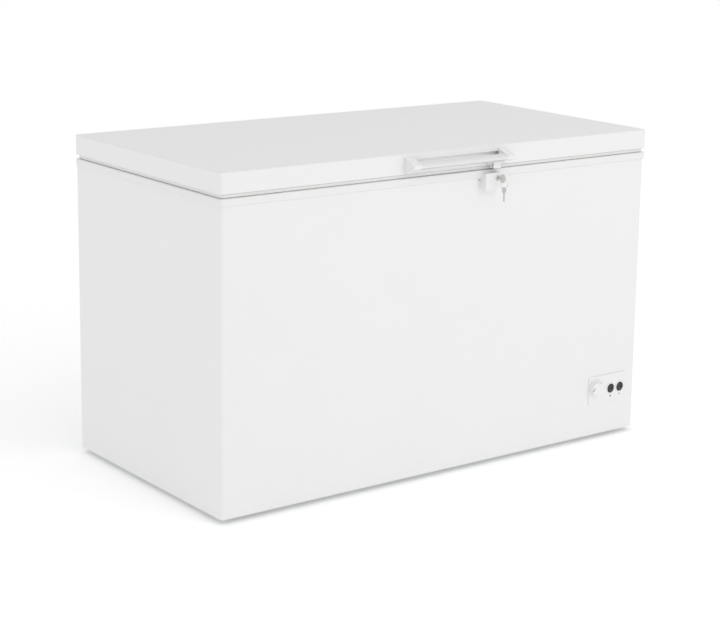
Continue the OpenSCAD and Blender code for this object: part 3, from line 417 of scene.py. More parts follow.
def new_tree(name, *inputs, output="Geometry"):
    """A Geometry Nodes tree with inputs of (label, kind, first value). Returns it and their sockets."""
    tree = bpy.data.node_groups.new(name, "GeometryNodeTree")
    for label, kind, value in inputs:
        socket = tree.interface.new_socket(label, in_out="INPUT", socket_type="NodeSocket" + kind)
        if value is not None:
            socket.default_value = value
    tree.interface.new_socket(output, in_out="OUTPUT", socket_type="NodeSocketGeometry")
    return tree, add(tree, "NodeGroupInput").outputs


def close_tree(tree, shape, finish, smooth=False):
    """Ends a tree: its instances are made real, shaded smooth where asked, and given their material."""
    shape = add(tree, "GeometryNodeRealizeInstances", {"Geometry": shape}).outputs["Geometry"]
    if smooth:
        shape = add(tree, "GeometryNodeSetShadeSmooth", {"Geometry": shape}).outputs["Geometry"]
    dressed = add(tree, "GeometryNodeSetMaterial", {"Geometry": shape, "Material": finish})
    add(tree, "NodeGroupOutput", {"Geometry": dressed.outputs["Geometry"]})


louvre_row, given = new_tree("louvre_row", ("Slat", "Vector", (0.1, 0.008, 0.001)),
    ("Tilt", "Vector", (0, 0, 0)), ("First", "Vector", (0, 0, 0)),
    ("Step", "Vector", (0, 0, 0.02)), ("Count", "Int", 9),
    ("Finish", "Material", None))
slat = add(louvre_row, "GeometryNodeMeshCube", {"Size": given["Slat"]})
leant = add(louvre_row, "GeometryNodeTransform", {"Geometry": slat.outputs["Mesh"],
    "Rotation": given["Tilt"]})
row = add(louvre_row, "GeometryNodeMeshLine", {"Count": given["Count"], "Start Location": given["First"],
    "Offset": given["Step"]})
placed = add(louvre_row, "GeometryNodeInstanceOnPoints", {"Points": row.outputs["Mesh"],
    "Instance": leant.outputs["Geometry"]})
close_tree(louvre_row, placed.outputs["Instances"], given["Finish"])


def grown(name, tree, values, points=None, facing=None):
    """Runs a Geometry Nodes tree once, from bare points where it wants them, and returns the plain mesh."""
    seed = bpy.data.meshes.new(name)
    seed.from_pydata(points or [], [], [])
    if facing:
        directions = seed.attributes.new("facing", "FLOAT_VECTOR", "POINT")
        for i, way in enumerate(facing):
            directions.data[i].vector = way
    blank = bpy.data.objects.new(name, seed)
    bpy.context.scene.collection.objects.link(blank)
    maker = blank.modifiers.new(name, "NODES")
    maker.node_group = tree
    for socket in tree.interface.items_tree:
        if socket.in_out == "INPUT" and socket.name in values:
            maker[socket.identifier] = values[socket.name]
    blank.update_tag()
    mesh = settled(blank)
    bpy.data.objects.remove(blank)
    return mesh


lean, slat_t = math.radians(38), 0.0012
rear_low, rear_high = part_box("rear_grille")
rear_mid, rear_pitch, rear_rows = (rear_low.z + rear_high.z) / 2 + 0.012, 0.019, 9
eased_copy("rear_grille", "rear_grille_frame", black_pp, "cabinet", "black_plastic")
fit("rear_louvres", grown("rear_louvres", louvre_row, {
    "Slat": (rear_high.x - rear_low.x - 0.040, 0.012, slat_t), "Tilt": (-lean, 0, 0),
    "First": ((rear_low.x + rear_high.x) / 2, rear_low.y - 0.0042,
    rear_mid - rear_pitch * (rear_rows - 1) / 2), "Step": (0, 0, rear_pitch), "Count": rear_rows,
    "Finish": black_pp}), black_pp, "cabinet", "black_plastic")
side_low, side_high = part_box("side_grille")
side_mid, side_pitch, side_rows = (side_low.z + side_high.z) / 2, 0.015, 10
eased_copy("side_grille", "side_grille_frame", white_abs, "cabinet", "panel_plastic")
fit("side_louvres", grown("side_louvres", louvre_row, {
    "Slat": (0.010, side_high.y - side_low.y - 0.034, slat_t), "Tilt": (0, lean, 0),
    "First": (side_low.x - 0.0036, (side_low.y + side_high.y) / 2,
    side_mid - side_pitch * (side_rows - 1) / 2), "Step": (0, 0, side_pitch), "Count": side_rows,
    "Finish": white_abs}), white_abs, "cabinet", "panel_plastic")

cross_screw, given = new_tree("cross_screw", ("Places", "Geometry", None), ("Head Radius", "Float", 0.004),
    ("Head Height", "Float", 0.0015), ("Seed", "Int", 7), ("Finish", "Material", None))
crown_r = add(cross_screw, "ShaderNodeMath", {0: given["Head Radius"], 1: 0.72}, operation="MULTIPLY")
head = add(cross_screw, "GeometryNodeMeshCone", {"Vertices": 28, "Radius Top": crown_r.outputs[0],
    "Radius Bottom": given["Head Radius"], "Depth": given["Head Height"]})
arm = add(cross_screw, "ShaderNodeMath", {0: given["Head Radius"], 1: 1.15}, operation="MULTIPLY")
blade = add(cross_screw, "ShaderNodeMath", {0: given["Head Radius"], 1: 0.24}, operation="MULTIPLY")
long_way = add(cross_screw, "ShaderNodeCombineXYZ", {0: arm.outputs[0], 1: blade.outputs[0],
    2: given["Head Height"]})
other_way = add(cross_screw, "ShaderNodeCombineXYZ", {0: blade.outputs[0], 1: arm.outputs[0],
    2: given["Head Height"]})
lift = add(cross_screw, "ShaderNodeCombineXYZ", {2: given["Head Height"]})
blades = []
for size in (long_way, other_way):
    block = add(cross_screw, "GeometryNodeMeshCube", {"Size": size.outputs[0]})
    blades.append(add(cross_screw, "GeometryNodeTransform", {"Geometry": block.outputs["Mesh"],
        "Translation": lift.outputs[0]}).outputs["Geometry"])
cut = add(cross_screw, "GeometryNodeMeshBoolean", {"Mesh 1": head.outputs["Mesh"], "Mesh 2": blades},
    operation="DIFFERENCE")
way = add(cross_screw, "GeometryNodeInputNamedAttribute", {"Name": "facing"}, data_type="FLOAT_VECTOR")
upright = add(cross_screw, "FunctionNodeAlignRotationToVector", {"Vector": way.outputs["Attribute"]},
    axis="Z")
# Each head stops at its own angle, anywhere in a full turn
spin = add(cross_screw, "FunctionNodeRandomValue", {3: 6.283, "Seed": given["Seed"]}, data_type="FLOAT")
about = add(cross_screw, "ShaderNodeCombineXYZ", {2: spin.outputs[1]})
twist = add(cross_screw, "FunctionNodeEulerToRotation", {0: about.outputs[0]})
turned_in = add(cross_screw, "FunctionNodeRotateRotation", {0: upright.outputs[0], 1: twist.outputs[0]},
    rotation_space="LOCAL")
placed = add(cross_screw, "GeometryNodeInstanceOnPoints", {"Points": given["Places"],
    "Instance": cut.outputs["Mesh"], "Rotation": turned_in.outputs[0]})
close_tree(cross_screw, placed.outputs["Instances"], given["Finish"])


def head_places(node, way, radius, height):
    """The middles of the heads of a CAD node's screws: each loose part's far end along that way."""
    work = bmesh.new()
    work.from_mesh(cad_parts[node].data)
    bmesh.ops.remove_doubles(work, verts=work.verts, dist=2e-6)
    left, places = set(work.verts), []
    axis = Vector(way)
    while left:
        group, edge = set(), [left.pop()]
        while edge:
            v = edge.pop()
            group.add(v)
            edge += [e.other_vert(v) for e in v.link_edges if e.other_vert(v) in left]
            left -= set(edge)
        low = Vector([min(v.co[k] for v in group) for k in range(3)])
        high = Vector([max(v.co[k] for v in group) for k in range(3)])
        middle, top = (low + high) / 2, max(v.co.dot(axis) for v in group)
        spread = [high[k] - low[k] for k in range(3) if abs(axis[k]) < 0.5]
        if max(spread) < 3 * radius:
            places.append(middle + axis * (top - height - middle.dot(axis)))
    work.free()
    return sorted(places, key=lambda place: [round(part, 5) for part in place])


def screw_heads(node, name, body, way, radius, height, seed):
    """Fits crosshead screws where a CAD node's screws end, all facing one way."""
    places = head_places(node, way, radius, height)
    fit(name, grown(name, cross_screw, {"Head Radius": radius, "Head Height": height, "Seed": seed,
        "Finish": zinc}, places, [way] * len(places)), zinc, body, "zinc_steel", node)


back_way, end_way = (0, 1, 0), (1, 0, 0)
rear_places = [p for p in head_places("grille_screws", back_way, 0.004, 0.0015) if p.y > side_high.y]
side_places = [p for p in head_places("grille_screws", end_way, 0.004, 0.0012) if p.y < side_high.y + 0.01]
fit("grille_screw_heads", grown("grille_screw_heads", cross_screw, {"Head Radius": 0.004,
    "Head Height": 0.0015, "Seed": 7, "Finish": zinc}, rear_places + side_places,
    [back_way] * len(rear_places) + [end_way] * len(side_places)), zinc, "cabinet", "zinc_steel",
    "grille_screws")

nylon = moulded("black_nylon_moulded", "#1B1B1B", "#232323", 0.42, 1.53, 0.0007, 0.00004)
eased_copy("mains_gland", "cord_gland", nylon, "cabinet", "black_plastic", 30, 0.0005)


# ---------------------------------------------------------------- feet
# Four feet moulded in black polypropylene, each screwed through its middle into the base pan.

eased_copy("feet", "foot_pads", black_pp, "cabinet", "black_rubber", 35, 0.0008)
eased_copy("foot_screws", "foot_bolts", zinc, "cabinet", "zinc_steel", 30, 0.0004)


# ---------------------------------------------------------------- control panel
# A white ABS plate clips into the shell. Printed on it are the dial's rising scale and one sign under each
# switch: a lamp and a snow star. The thermostat sits behind it.

eased_copy("control_panel", "panel_plate", white_abs, "cabinet", "panel_plastic", 40)
grey_abs = moulded("grey_abs_moulded", "#B9BABB", "#B1B2B3", 0.45, 1.53, 0.0009, 0.00004)
eased_copy("thermostat_body", "thermostat_case", grey_abs, "cabinet", "thermostat_plastic", 35, 0.0006)

# Pad-printed ink, a film a few hundredths of a millimetre thick
ink = clouded("grey_pad_print_ink", "#6E7072", 0.5, 700.0, 2.0, ("#66686A", "#77797B"))


def bar(work, middle, size, turn=None):
    """A straight bar of that size about its middle, turned about the axis that faces out of the front."""
    made = bmesh.ops.create_cube(work, size=1.0)["verts"]
    bmesh.ops.scale(work, verts=made, vec=size)
    if turn:
        bmesh.ops.rotate(work, verts=made, cent=(0, 0, 0), matrix=Matrix.Rotation(turn, 3, "Y"))
    bmesh.ops.translate(work, verts=made, vec=middle)


plate_low, plate_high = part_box("control_panel")
knob_low, knob_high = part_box("thermostat_knob")
knob_x, knob_z, knob_r = ((knob_low.x + knob_high.x) / 2, (knob_low.z + knob_high.z) / 2,
    (knob_high.x - knob_low.x) / 2)
left_low, left_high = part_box("rocker_left")
right_low, right_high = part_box("rocker_right")
switch_x = [(left_low.x + left_high.x) / 2, (right_low.x + right_high.x) / 2]
housing_low, housing_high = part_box("rocker_housings")
switch_z = (housing_low.z + housing_high.z) / 2
print_y, film = plate_low.y - 0.00004, 0.00012
scale_r, marks, first_mark, next_mark = knob_r + 0.0045, 9, -125, 31
work = bmesh.new()
for i in range(marks):
    a = math.radians(first_mark + next_mark * i)
    bar(work, (knob_x + scale_r * math.sin(a), print_y, knob_z + scale_r * math.cos(a)),
        (0.0008 + 0.00012 * i, film, 0.0018 + 0.0003 * i), a)
sign_z = housing_low.z - 0.0050
for turn in (0, 60, 120):
    bar(work, (switch_x[1], print_y, sign_z), (0.0007, film, 0.0062), math.radians(turn))
bar(work, (switch_x[0], print_y, sign_z + 0.0016), (0.0009, film, 0.0030))
turned(work, [(0.0, 0), (0.0026, 0), (0.0026, film), (0.0, film)], (switch_x[0], print_y + film / 2,
    sign_z - 0.0006), (0, -1, 0), 24)
fit("panel_print", broad_skin(work, "panel_print"), ink, "cabinet", "grey_plastic")


# ---------------------------------------------------------------- thermostat dial
# A white ABS knob on the thermostat's spindle: a thin skirt, a fluted grip, and one dark slanted line left of
# the middle, partly a printed pointer and partly painted shade of the knob's side.

knob_face = knob_low.y
work = bmesh.new()
turned(work, [(0, 0), (knob_r - 0.0006, 0), (knob_r, 0.0006), (knob_r, 0.0022), (knob_r - 0.0010, 0.0030),
    (knob_r - 0.0022, 0.0032), (knob_r - 0.0030, 0.0040), (knob_r - 0.0034, 0.0098),
    (knob_r - 0.0046, 0.0109), (0, 0.0110)], (knob_x, knob_face + 0.0110, knob_z), (0, -1, 0), 72)
turned(work, [(0, 0), (0.003, 0), (0.003, 0.012), (0, 0.012)], (knob_x, knob_face + 0.0225, knob_z),
    (0, -1, 0), 24)
fit("dial_knob", broad_skin(work, "dial_knob"), white_abs, "dial", "panel_plastic", "thermostat_knob")

flute_ring, given = new_tree("flute_ring", ("Radius", "Float", 0.014), ("Flute Radius", "Float", 0.0009),
    ("Length", "Float", 0.006), ("Count", "Int", 24), ("Centre", "Vector", (0, 0, 0)),
    ("Finish", "Material", None))
ring = add(flute_ring, "GeometryNodeMeshCircle", {"Vertices": given["Count"], "Radius": given["Radius"]})
rib = add(flute_ring, "GeometryNodeMeshCylinder", {"Vertices": 10, "Radius": given["Flute Radius"],
    "Depth": given["Length"]})
placed = add(flute_ring, "GeometryNodeInstanceOnPoints", {"Points": ring.outputs["Mesh"],
    "Instance": rib.outputs["Mesh"]})
stood = add(flute_ring, "GeometryNodeTransform", {"Geometry": placed.outputs["Instances"],
    "Translation": given["Centre"], "Rotation": (math.radians(90), 0, 0)})
close_tree(flute_ring, stood.outputs["Geometry"], given["Finish"])
fit("dial_flutes", grown("dial_flutes", flute_ring, {"Radius": knob_r - 0.0032, "Flute Radius": 0.0009,
    "Length": 0.0062, "Count": 30, "Centre": (knob_x, knob_face + 0.0043, knob_z), "Finish": white_abs}),
    white_abs, "dial", "panel_plastic")

# Dark ink at the left of the knob's face, slanted as the shade falls: partly pointer, partly painted shade
work = bmesh.new()
bar(work, (knob_x - 0.6 * knob_r, knob_face - 0.00002, knob_z), (0.0024, 0.0002, 0.0110), math.radians(43))
fit("dial_pointer_painted_shade", broad_skin(work, "dial_pointer_painted_shade"), ink, "dial", "grey_plastic")


# ---------------------------------------------------------------- rocker switches
# Round snap-in rockers: a white bezel with a black ABS button, dished so that a finger finds it, and a pale
# printed mark on each half.

eased_copy("rocker_housings", "switch_bezels", white_abs, "cabinet", "panel_plastic", 30, 0.0005)
black_abs = moulded("black_abs_moulded", "#0A0A0B", "#111112", 0.3, 1.53, 0.0009, 0.00002)
for node, x in (("rocker_left", switch_x[0]), ("rocker_right", switch_x[1])):
    low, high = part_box(node)
    button_r = (high.x - low.x) / 2
    lean = math.radians(6)
    out = Vector((0, -math.cos(lean), -math.sin(lean)))
    pivot = Vector((x, plate_high.y + 0.004, switch_z))
    work = bmesh.new()
    turned(work, [(0, -0.004), (button_r, -0.004), (button_r, 0.0064), (button_r - 0.0006, 0.0070),
        (button_r - 0.0016, 0.0071), (button_r - 0.0040, 0.0064), (button_r - 0.0080, 0.0059), (0, 0.0058)],
        pivot, out, 48)
    fit(node + "_button", broad_skin(work, node + "_button", 40), black_abs, node, "black_plastic", node)
    work = bmesh.new()
    mark = bmesh.ops.create_cube(work, size=1.0)["verts"]
    bmesh.ops.scale(work, verts=mark, vec=(0.0009, 0.0003, 0.0042))
    bmesh.ops.rotate(work, verts=mark, cent=(0, 0, 0), matrix=Matrix.Rotation(-lean, 3, "X"))
    bmesh.ops.translate(work, verts=mark, vec=pivot + out * 0.0064 + Vector((0, 0, 0.0058)))
    turned(work, [(0.0013, 0), (0.0021, 0), (0.0021, 0.0006), (0.0013, 0.0006)],
        pivot + out * 0.0060 + Vector((0, 0, -0.0056)), out, 24)
    fit(node + "_marks", broad_skin(work, node + "_marks"), ink, node, "grey_plastic")


# ---------------------------------------------------------------- top frame
# A white PVC frame, extruded and mitred, covers the joint between shell and well. Its lip laps the shell, and
# a step inside carries the baskets.

def level_line(half_x, half_y, corner, z, steps=8):
    """One level line of a rounded rectangle about the cabinet's middle, anticlockwise seen from above."""
    points = []
    for quarter, (sx, sy) in enumerate([(1, 1), (-1, 1), (-1, -1), (1, -1)]):
        for i in range(steps + 1):
            a = math.radians(90 * quarter + 90 * i / steps)
            points.append((sx * (half_x - corner) + corner * math.cos(a),
                middle_y + sy * (half_y - corner) + corner * math.sin(a), z))
    return points


def lofted(work, lines, closed=False):
    """Skins level lines in turn. An open loft gets a flat cap at each end, and a closed one joins up."""
    rows = [[work.verts.new(p) for p in line] for line in lines]
    count = len(rows[0])
    for low, high in list(zip(rows, rows[1:])) + ([(rows[-1], rows[0])] if closed else []):
        for i in range(count):
            j = (i + 1) % count
            work.faces.new((low[i], low[j], high[j], high[i]))
    if not closed:
        work.faces.new(rows[0])
        work.faces.new(rows[-1])


rim_low, rim_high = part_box("top_frame")
well_low, well_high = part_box("inner_liner")
middle_y = (rim_low.y + rim_high.y) / 2
rim_x, rim_y = rim_high.x, (rim_high.y - rim_low.y) / 2
well_x, well_y = well_high.x, (well_high.y - well_low.y) / 2
ledge = well_high.z + 0.003
lip_bottom = rim_high.z - 0.018
sleeve_x, sleeve_y = well_x + 0.009, well_y + 0.009
white_pvc = moulded("white_pvc_extruded", "#ECECEC", "#E9E9E9", 0.4, 1.54, 0.0014, 0.00003)
work = bmesh.new()
lofted(work, [level_line(rim_x - 0.0006, rim_y - 0.0006, 0.0084, lip_bottom),
    level_line(rim_x, rim_y, 0.009, lip_bottom + 0.0006),
    level_line(rim_x, rim_y, 0.009, rim_high.z - 0.0016),
    level_line(rim_x - 0.0005, rim_y - 0.0005, 0.0085, rim_high.z - 0.0005),
    level_line(rim_x - 0.0016, rim_y - 0.0016, 0.0074, rim_high.z),
    level_line(sleeve_x + 0.0020, sleeve_y + 0.0020, 0.023, rim_high.z),
    level_line(sleeve_x + 0.0006, sleeve_y + 0.0006, 0.0216, rim_high.z - 0.0006),
    level_line(sleeve_x, sleeve_y, 0.021, rim_high.z - 0.0020), level_line(sleeve_x, sleeve_y, 0.021, ledge),
    level_line(well_x - 0.001, well_y - 0.001, 0.023, ledge),
    level_line(well_x - 0.001, well_y - 0.001, 0.023, ledge - 0.003),
    level_line(sleeve_x + 0.003, sleeve_y + 0.003, 0.024, ledge - 0.003),
    level_line(sleeve_x + 0.003, sleeve_y + 0.003, 0.024, rim_high.z - 0.003),
    level_line(rim_x - 0.0039, rim_y - 0.0039, 0.0081, rim_high.z - 0.003),
    level_line(rim_x - 0.0039, rim_y - 0.0039, 0.0081, lip_bottom)], closed=True)
fit("rim_frame", broad_skin(work, "rim_frame", 50), white_pvc, "cabinet", "frame_plastic", "top_frame")


# ---------------------------------------------------------------- drain
# A polypropylene tube through the floor lets melt water out. A grey plug with a finger tab closes it from
# inside the well.

grey_pp = moulded("grey_polypropylene_moulded", "#8D9092", "#84878A", 0.48, 1.49, 0.0008, 0.00004)
eased_copy("drain_tube", "drain_pipe", white_pvc, "cabinet", "frame_plastic", 30, 0.0003)
eased_copy("drain_plug", "drain_stopper", grey_pp, "drain_plug", "grey_plastic", 30, 0.0005)


# ---------------------------------------------------------------- hinges
# Pressed zinc-plated brackets bolt to the back and carry steel pins. The leaves on the lid turn on the pins,
# and an oiled torsion spring round each pin takes the lid's weight.

eased_copy("hinge_brackets", "hinge_plates", zinc, "cabinet", "zinc_steel", 35, 0.0005)
eased_copy("hinge_pins", "hinge_axles", zinc, "cabinet", "zinc_steel", 35, 0.0004)
eased_copy("hinge_leaves", "hinge_flaps", zinc, "lid", "zinc_steel", 35, 0.0004)
screw_heads("hinge_screws", "hinge_screw_heads", "cabinet", back_way, 0.0045, 0.002, 3)
screw_heads("leaf_screws", "leaf_screw_heads", "lid", back_way, 0.004, 0.0015, 3)

# Oil-tempered spring wire: dark, with a thin sheen of oil
spring_wire = clouded("oil_tempered_spring_wire", "#3B3C3F", 0.32, 400.0, 3.0, ("#2C2D30", "#505256"),
    metallic=1.0)
coil, given = new_tree("hinge_coil", ("Places", "Geometry", None), ("Turns", "Float", 4.0),
    ("Coil Radius", "Float", 0.0062), ("Wire Radius", "Float", 0.001), ("Length", "Float", 0.0086),
    ("Finish", "Material", None))
helix = add(coil, "GeometryNodeCurveSpiral", {"Resolution": 36, "Rotations": given["Turns"],
    "Start Radius": given["Coil Radius"], "End Radius": given["Coil Radius"],
    "Height": given["Length"]})
section = add(coil, "GeometryNodeCurvePrimitiveCircle", {"Resolution": 10, "Radius": given["Wire Radius"]})
wound = add(coil, "GeometryNodeCurveToMesh", {"Curve": helix.outputs["Curve"],
    "Profile Curve": section.outputs["Curve"], "Fill Caps": True})
half = add(coil, "ShaderNodeMath", {0: given["Length"], 1: -0.5}, operation="MULTIPLY")
shift = add(coil, "ShaderNodeCombineXYZ", {0: half.outputs[0]})
lain = add(coil, "GeometryNodeTransform", {"Geometry": wound.outputs["Mesh"], "Translation": shift.outputs[0],
    "Rotation": (0, math.radians(90), 0)})
placed = add(coil, "GeometryNodeInstanceOnPoints", {"Points": given["Places"],
    "Instance": lain.outputs["Geometry"]})
close_tree(coil, placed.outputs["Instances"], given["Finish"], smooth=True)
coil_l, spring_r = 0.0086, 0.001
pin_low, pin_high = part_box("hinge_pins")
spring_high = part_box("hinge_springs")[1]
hinge_x = spring_high.x - (coil_l / 2 + spring_r)
hinge_y, hinge_z = (pin_low.y + pin_high.y) / 2, (pin_low.z + pin_high.z) / 2
fit("hinge_coils", grown("hinge_coils", coil, {"Turns": 4.0, "Coil Radius": 0.0062, "Wire Radius": spring_r,
    "Length": coil_l, "Finish": spring_wire}, [(-hinge_x, hinge_y, hinge_z), (hinge_x, hinge_y, hinge_z)]),
    spring_wire, "cabinet", "spring_steel", "hinge_springs")


# ---------------------------------------------------------------- lid
# The lid is a pressed pan of the same prepainted steel, foamed on a vacuum-formed white polystyrene inner
# panel. The pan's corners are drawn to 9 mm and its top edge to 2.5 mm, and the front is notched for the
# handle's base.

lid_low, lid_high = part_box("lid_skin")
base_low, base_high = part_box("handle_base")
lid_x, lid_y = lid_high.x, (lid_high.y - lid_low.y) / 2
sheet = 0.0008
work = bmesh.new()
outside = [level_line(lid_x, lid_y, 0.009, lid_low.z), level_line(lid_x, lid_y, 0.009, lid_high.z - 0.0025)]
for i in range(1, 6):
    a = math.radians(18 * i)
    back_in = 0.0025 * (1 - math.cos(a))
    outside.append(level_line(lid_x - back_in, lid_y - back_in, 0.009 - back_in,
        lid_high.z - 0.0025 + 0.0025 * math.sin(a)))
inside = [level_line(lid_x - 0.004, lid_y - 0.004, 0.006, lid_high.z - sheet),
    level_line(lid_x - sheet, lid_y - sheet, 0.009 - sheet, lid_high.z - 0.004),
    level_line(lid_x - sheet, lid_y - sheet, 0.009 - sheet, lid_low.z)]
lofted(work, inside + outside)


def notched(work, low, high, name, crease):
    """Cuts a box out of a closed shape."""
    tool_work = bmesh.new()
    bmesh.ops.create_cube(tool_work, size=1.0)
    bmesh.ops.scale(tool_work, verts=tool_work.verts, vec=Vector(high) - Vector(low))
    bmesh.ops.translate(tool_work, verts=tool_work.verts, vec=(Vector(high) + Vector(low)) / 2)
    meshes = []
    for shape in (work, tool_work):
        bmesh.ops.recalc_face_normals(shape, faces=shape.faces)
        mesh = bpy.data.meshes.new(name)
        shape.to_mesh(mesh)
        shape.free()
        meshes.append(mesh)
    blanks = [bpy.data.objects.new(name, mesh) for mesh in meshes]
    for blank in blanks:
        bpy.context.scene.collection.objects.link(blank)
    cut = blanks[0].modifiers.new("notch", "BOOLEAN")
    cut.operation = "DIFFERENCE"
    cut.solver = "EXACT"
    cut.object = blanks[1]
    done = settled(blanks[0])
    for blank in blanks:
        bpy.data.objects.remove(blank)
    shape = bmesh.new()
    shape.from_mesh(done)
    return broad_skin(shape, name, crease)


notch = ((base_low.x, lid_low.y - 0.02, lid_low.z - 0.02), (base_high.x, base_high.y, base_high.z))
fit("lid_pan", notched(work, *notch, "lid_pan", 35), enamel, "lid", "shell_enamel", "lid_skin")

# Vacuum-formed polystyrene: glossy where the sheet was free, with soft radii
inner_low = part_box("lid_liner")[0]
polystyrene = moulded("white_polystyrene_vacuum_formed", "#F1F1EF", "#EDEDEB", 0.3, 1.59, 0.003, 0.00005)
plug_x, plug_y = well_x + 0.009 - 0.014, well_y + 0.009 - 0.014
work = bmesh.new()
lofted(work, [level_line(lid_x - sheet, lid_y - sheet, 0.0082, lid_low.z + 0.002),
    level_line(lid_x - sheet, lid_y - sheet, 0.0082, lid_low.z),
    level_line(plug_x + 0.003, plug_y + 0.003, 0.027, lid_low.z),
    level_line(plug_x + 0.0006, plug_y + 0.0006, 0.0246, lid_low.z - 0.001),
    level_line(plug_x, plug_y, 0.024, lid_low.z - 0.004),
    level_line(plug_x - 0.0004, plug_y - 0.0004, 0.0236, inner_low.z + 0.005),
    level_line(plug_x - 0.0020, plug_y - 0.0020, 0.022, inner_low.z + 0.0015),
    level_line(plug_x - 0.0055, plug_y - 0.0055, 0.0185, inner_low.z),
    level_line(plug_x - 0.040, plug_y - 0.040, 0.016, inner_low.z),
    level_line(plug_x - 0.044, plug_y - 0.044, 0.014, inner_low.z + 0.0014),
    level_line(plug_x - 0.060, plug_y - 0.060, 0.010, inner_low.z + 0.0014),
    level_line(plug_x - 0.064, plug_y - 0.064, 0.008, inner_low.z)])
fit("lid_inner_panel", notched(work, *notch, "lid_inner_panel", 40), polystyrene, "lid", "frame_plastic",
    "lid_liner")


# ---------------------------------------------------------------- lid seal
# A soft PVC gasket pushed into the inner panel: a bellows with a flat magnetic face that meets the top frame.

gasket = moulded("white_pvc_gasket_extruded", "#EEEEED", "#E9E9E7", 0.55, 1.52, 0.0016, 0.00008)
seal_low, seal_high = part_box("lid_seal")
seal_x, seal_y, seal_top = seal_high.x, (seal_high.y - seal_low.y) / 2, seal_high.z
drop = seal_high.z - seal_low.z
work = bmesh.new()
lofted(work, [level_line(seal_x - inset, seal_y - inset, 0.0075, seal_top - drop * down)
    for inset, down in ((0.0030, 0.0), (0.0030, 0.08), (0.0006, 0.18), (0.0000, 0.26), (0.0000, 0.78),
    (0.0005, 0.87), (0.0018, 0.95), (0.0026, 1.0), (0.0134, 1.0), (0.0142, 0.95), (0.0155, 0.87),
    (0.0160, 0.78), (0.0160, 0.26), (0.0154, 0.18), (0.0130, 0.08), (0.0130, 0.0))], closed=True)
fit("seal_bellows", broad_skin(work, "seal_bellows", 60), gasket, "lid", "seal_rubber", "lid_seal")


# ---------------------------------------------------------------- handle
# Three white ABS mouldings: a base let into the lid's front with a finger recess, two brackets screwed
# through it from inside, and a grip bar with a blunt nose held between them.

eased_copy("handle_base", "handle_plate", white_abs, "lid", "handle_plastic", 35, 0.0005)
eased_copy("handle_brackets", "handle_arms", white_abs, "lid", "handle_plastic", 30, 0.0005)
# The grip bar is the same white ABS, toned greyer as painted shade for its sloping face, and made a little
# rougher
shade_painted_abs = moulded("white_abs_painted_shade", "#E4E4E4", "#E1E1E1", 0.45, 1.53, 0.0011, 0.00004)
eased_copy("handle_grip", "handle_bar", shade_painted_abs, "lid", "handle_plastic", 30)
screw_heads("handle_screws", "handle_screw_heads", "lid", back_way, 0.004, 0.002, 5)
eased_copy("lock_strike", "lock_keeper", white_abs, "lid", "handle_plastic", 35, 0.0004)


# ---------------------------------------------------------------- lamp
# A tray under the lid holds a tubular bulb behind a ribbed cover that clips off. The cover is clear
# polycarbonate, frosted on the inside, and its ribs spread the light.

eased_copy("lamp_housing", "lamp_tray", white_abs, "lid", "frame_plastic", 35, 0.0006)
frosted = clouded("frosted_polycarbonate", "#F3F6F6", 0.35, 900.0, 2.0, gloss=(0.28, 0.45), ior=1.585)
frosted.node_tree.nodes["Principled BSDF"].inputs["Transmission Weight"].default_value = 0.3
eased_copy("lamp_lens", "lamp_cover", frosted, "lid", "lens_plastic", 35, 0.0006)
lens_low, lens_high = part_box("lamp_lens")
fit("lamp_cover_ribs", grown("lamp_cover_ribs", louvre_row, {"Slat": (0.0016,
    lens_high.y - lens_low.y - 0.006, 0.0016), "Tilt": (0, math.radians(45), 0), "First": (lens_low.x + 0.006,
    middle_y, lens_low.z + 0.0004), "Step": (0.004, 0, 0), "Count": 28, "Finish": frosted}), frosted, "lid",
    "lens_plastic")
bulb_glass = clouded("opal_bulb_glass", "#FBF7EE", 0.12, 50.0, 2.0, ("#FCF9F1", "#F5F0E4"), ior=1.52)
eased_copy("lamp_bulb", "lamp_tube", bulb_glass, "lid", "lamp_glass", 30, 0.0004)


# ---------------------------------------------------------------- lock and keys
# A cam lock in a white ABS housing below the rim. The barrel is chrome-plated zinc, turned and polished. Its
# key is nickel-plated brass, and carries a hardened split ring with the second key.

eased_copy("lock_housing", "lock_case", white_abs, "cabinet", "handle_plastic")
screw_heads("lock_screws", "lock_screw_heads", "cabinet", (0, -1, 0), 0.003, 0.0015, 2)
chrome = clouded("chrome_plated_zinc_casting", "#D4D6D8", 0.12, 1500.0, 2.0, gloss=(0.08, 0.22),
    metallic=1.0)
eased_copy("lock_barrel", "lock_cylinder", chrome, "lock_plug", "chrome", 30, 0.0003)
eased_copy("lock_cam", "lock_tongue", zinc, "lock_plug", "zinc_steel", 35, 0.0003)
nickel = clouded("nickel_plated_brass", "#D2D1CC", 0.28, 320.0, 4.0, ("#C4C2BC", "#E2E1DD"),
    (0.2, 0.42), metallic=1.0)
eased_copy("key", "key_in_lock", nickel, "lock_plug", "key_steel", 30, 0.0003)
eased_copy("spare_key", "hanging_key", nickel, "spare_key", "key_steel", 30, 0.0003)

# The split ring: two turns of wire lying side by side, its ends tucked between them
loop_low, loop_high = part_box("key_ring")
loop_mid = (loop_low + loop_high) / 2
wire = (loop_high.y - loop_low.y) / 4
loop_r = (loop_high.x - loop_low.x) / 2 - wire * 1.6
work = bmesh.new()
steps, sides = 96, 8
rows = []
for i in range(steps * 2 - 5):
    a = 2 * math.pi * i / steps + 0.8
    along = wire * (2 * min(1, max(0, (i - steps + 12) / 24)) - 1)
    out = Vector((math.cos(a), 0, math.sin(a)))
    rows.append([work.verts.new(loop_mid + out * loop_r + Vector((0, along, 0)) + wire * (
        out * math.cos(2 * math.pi * k / sides) + Vector((0, math.sin(2 * math.pi * k / sides), 0))))
        for k in range(sides)])
for low, high in zip(rows, rows[1:]):
    for k in range(sides):
        work.faces.new((low[k], low[(k + 1) % sides], high[(k + 1) % sides], high[k]))
work.faces.new(rows[0])
work.faces.new(rows[-1])
fit("split_ring", broad_skin(work, "split_ring", 60), chrome, "key_ring", "key_steel", "key_ring")


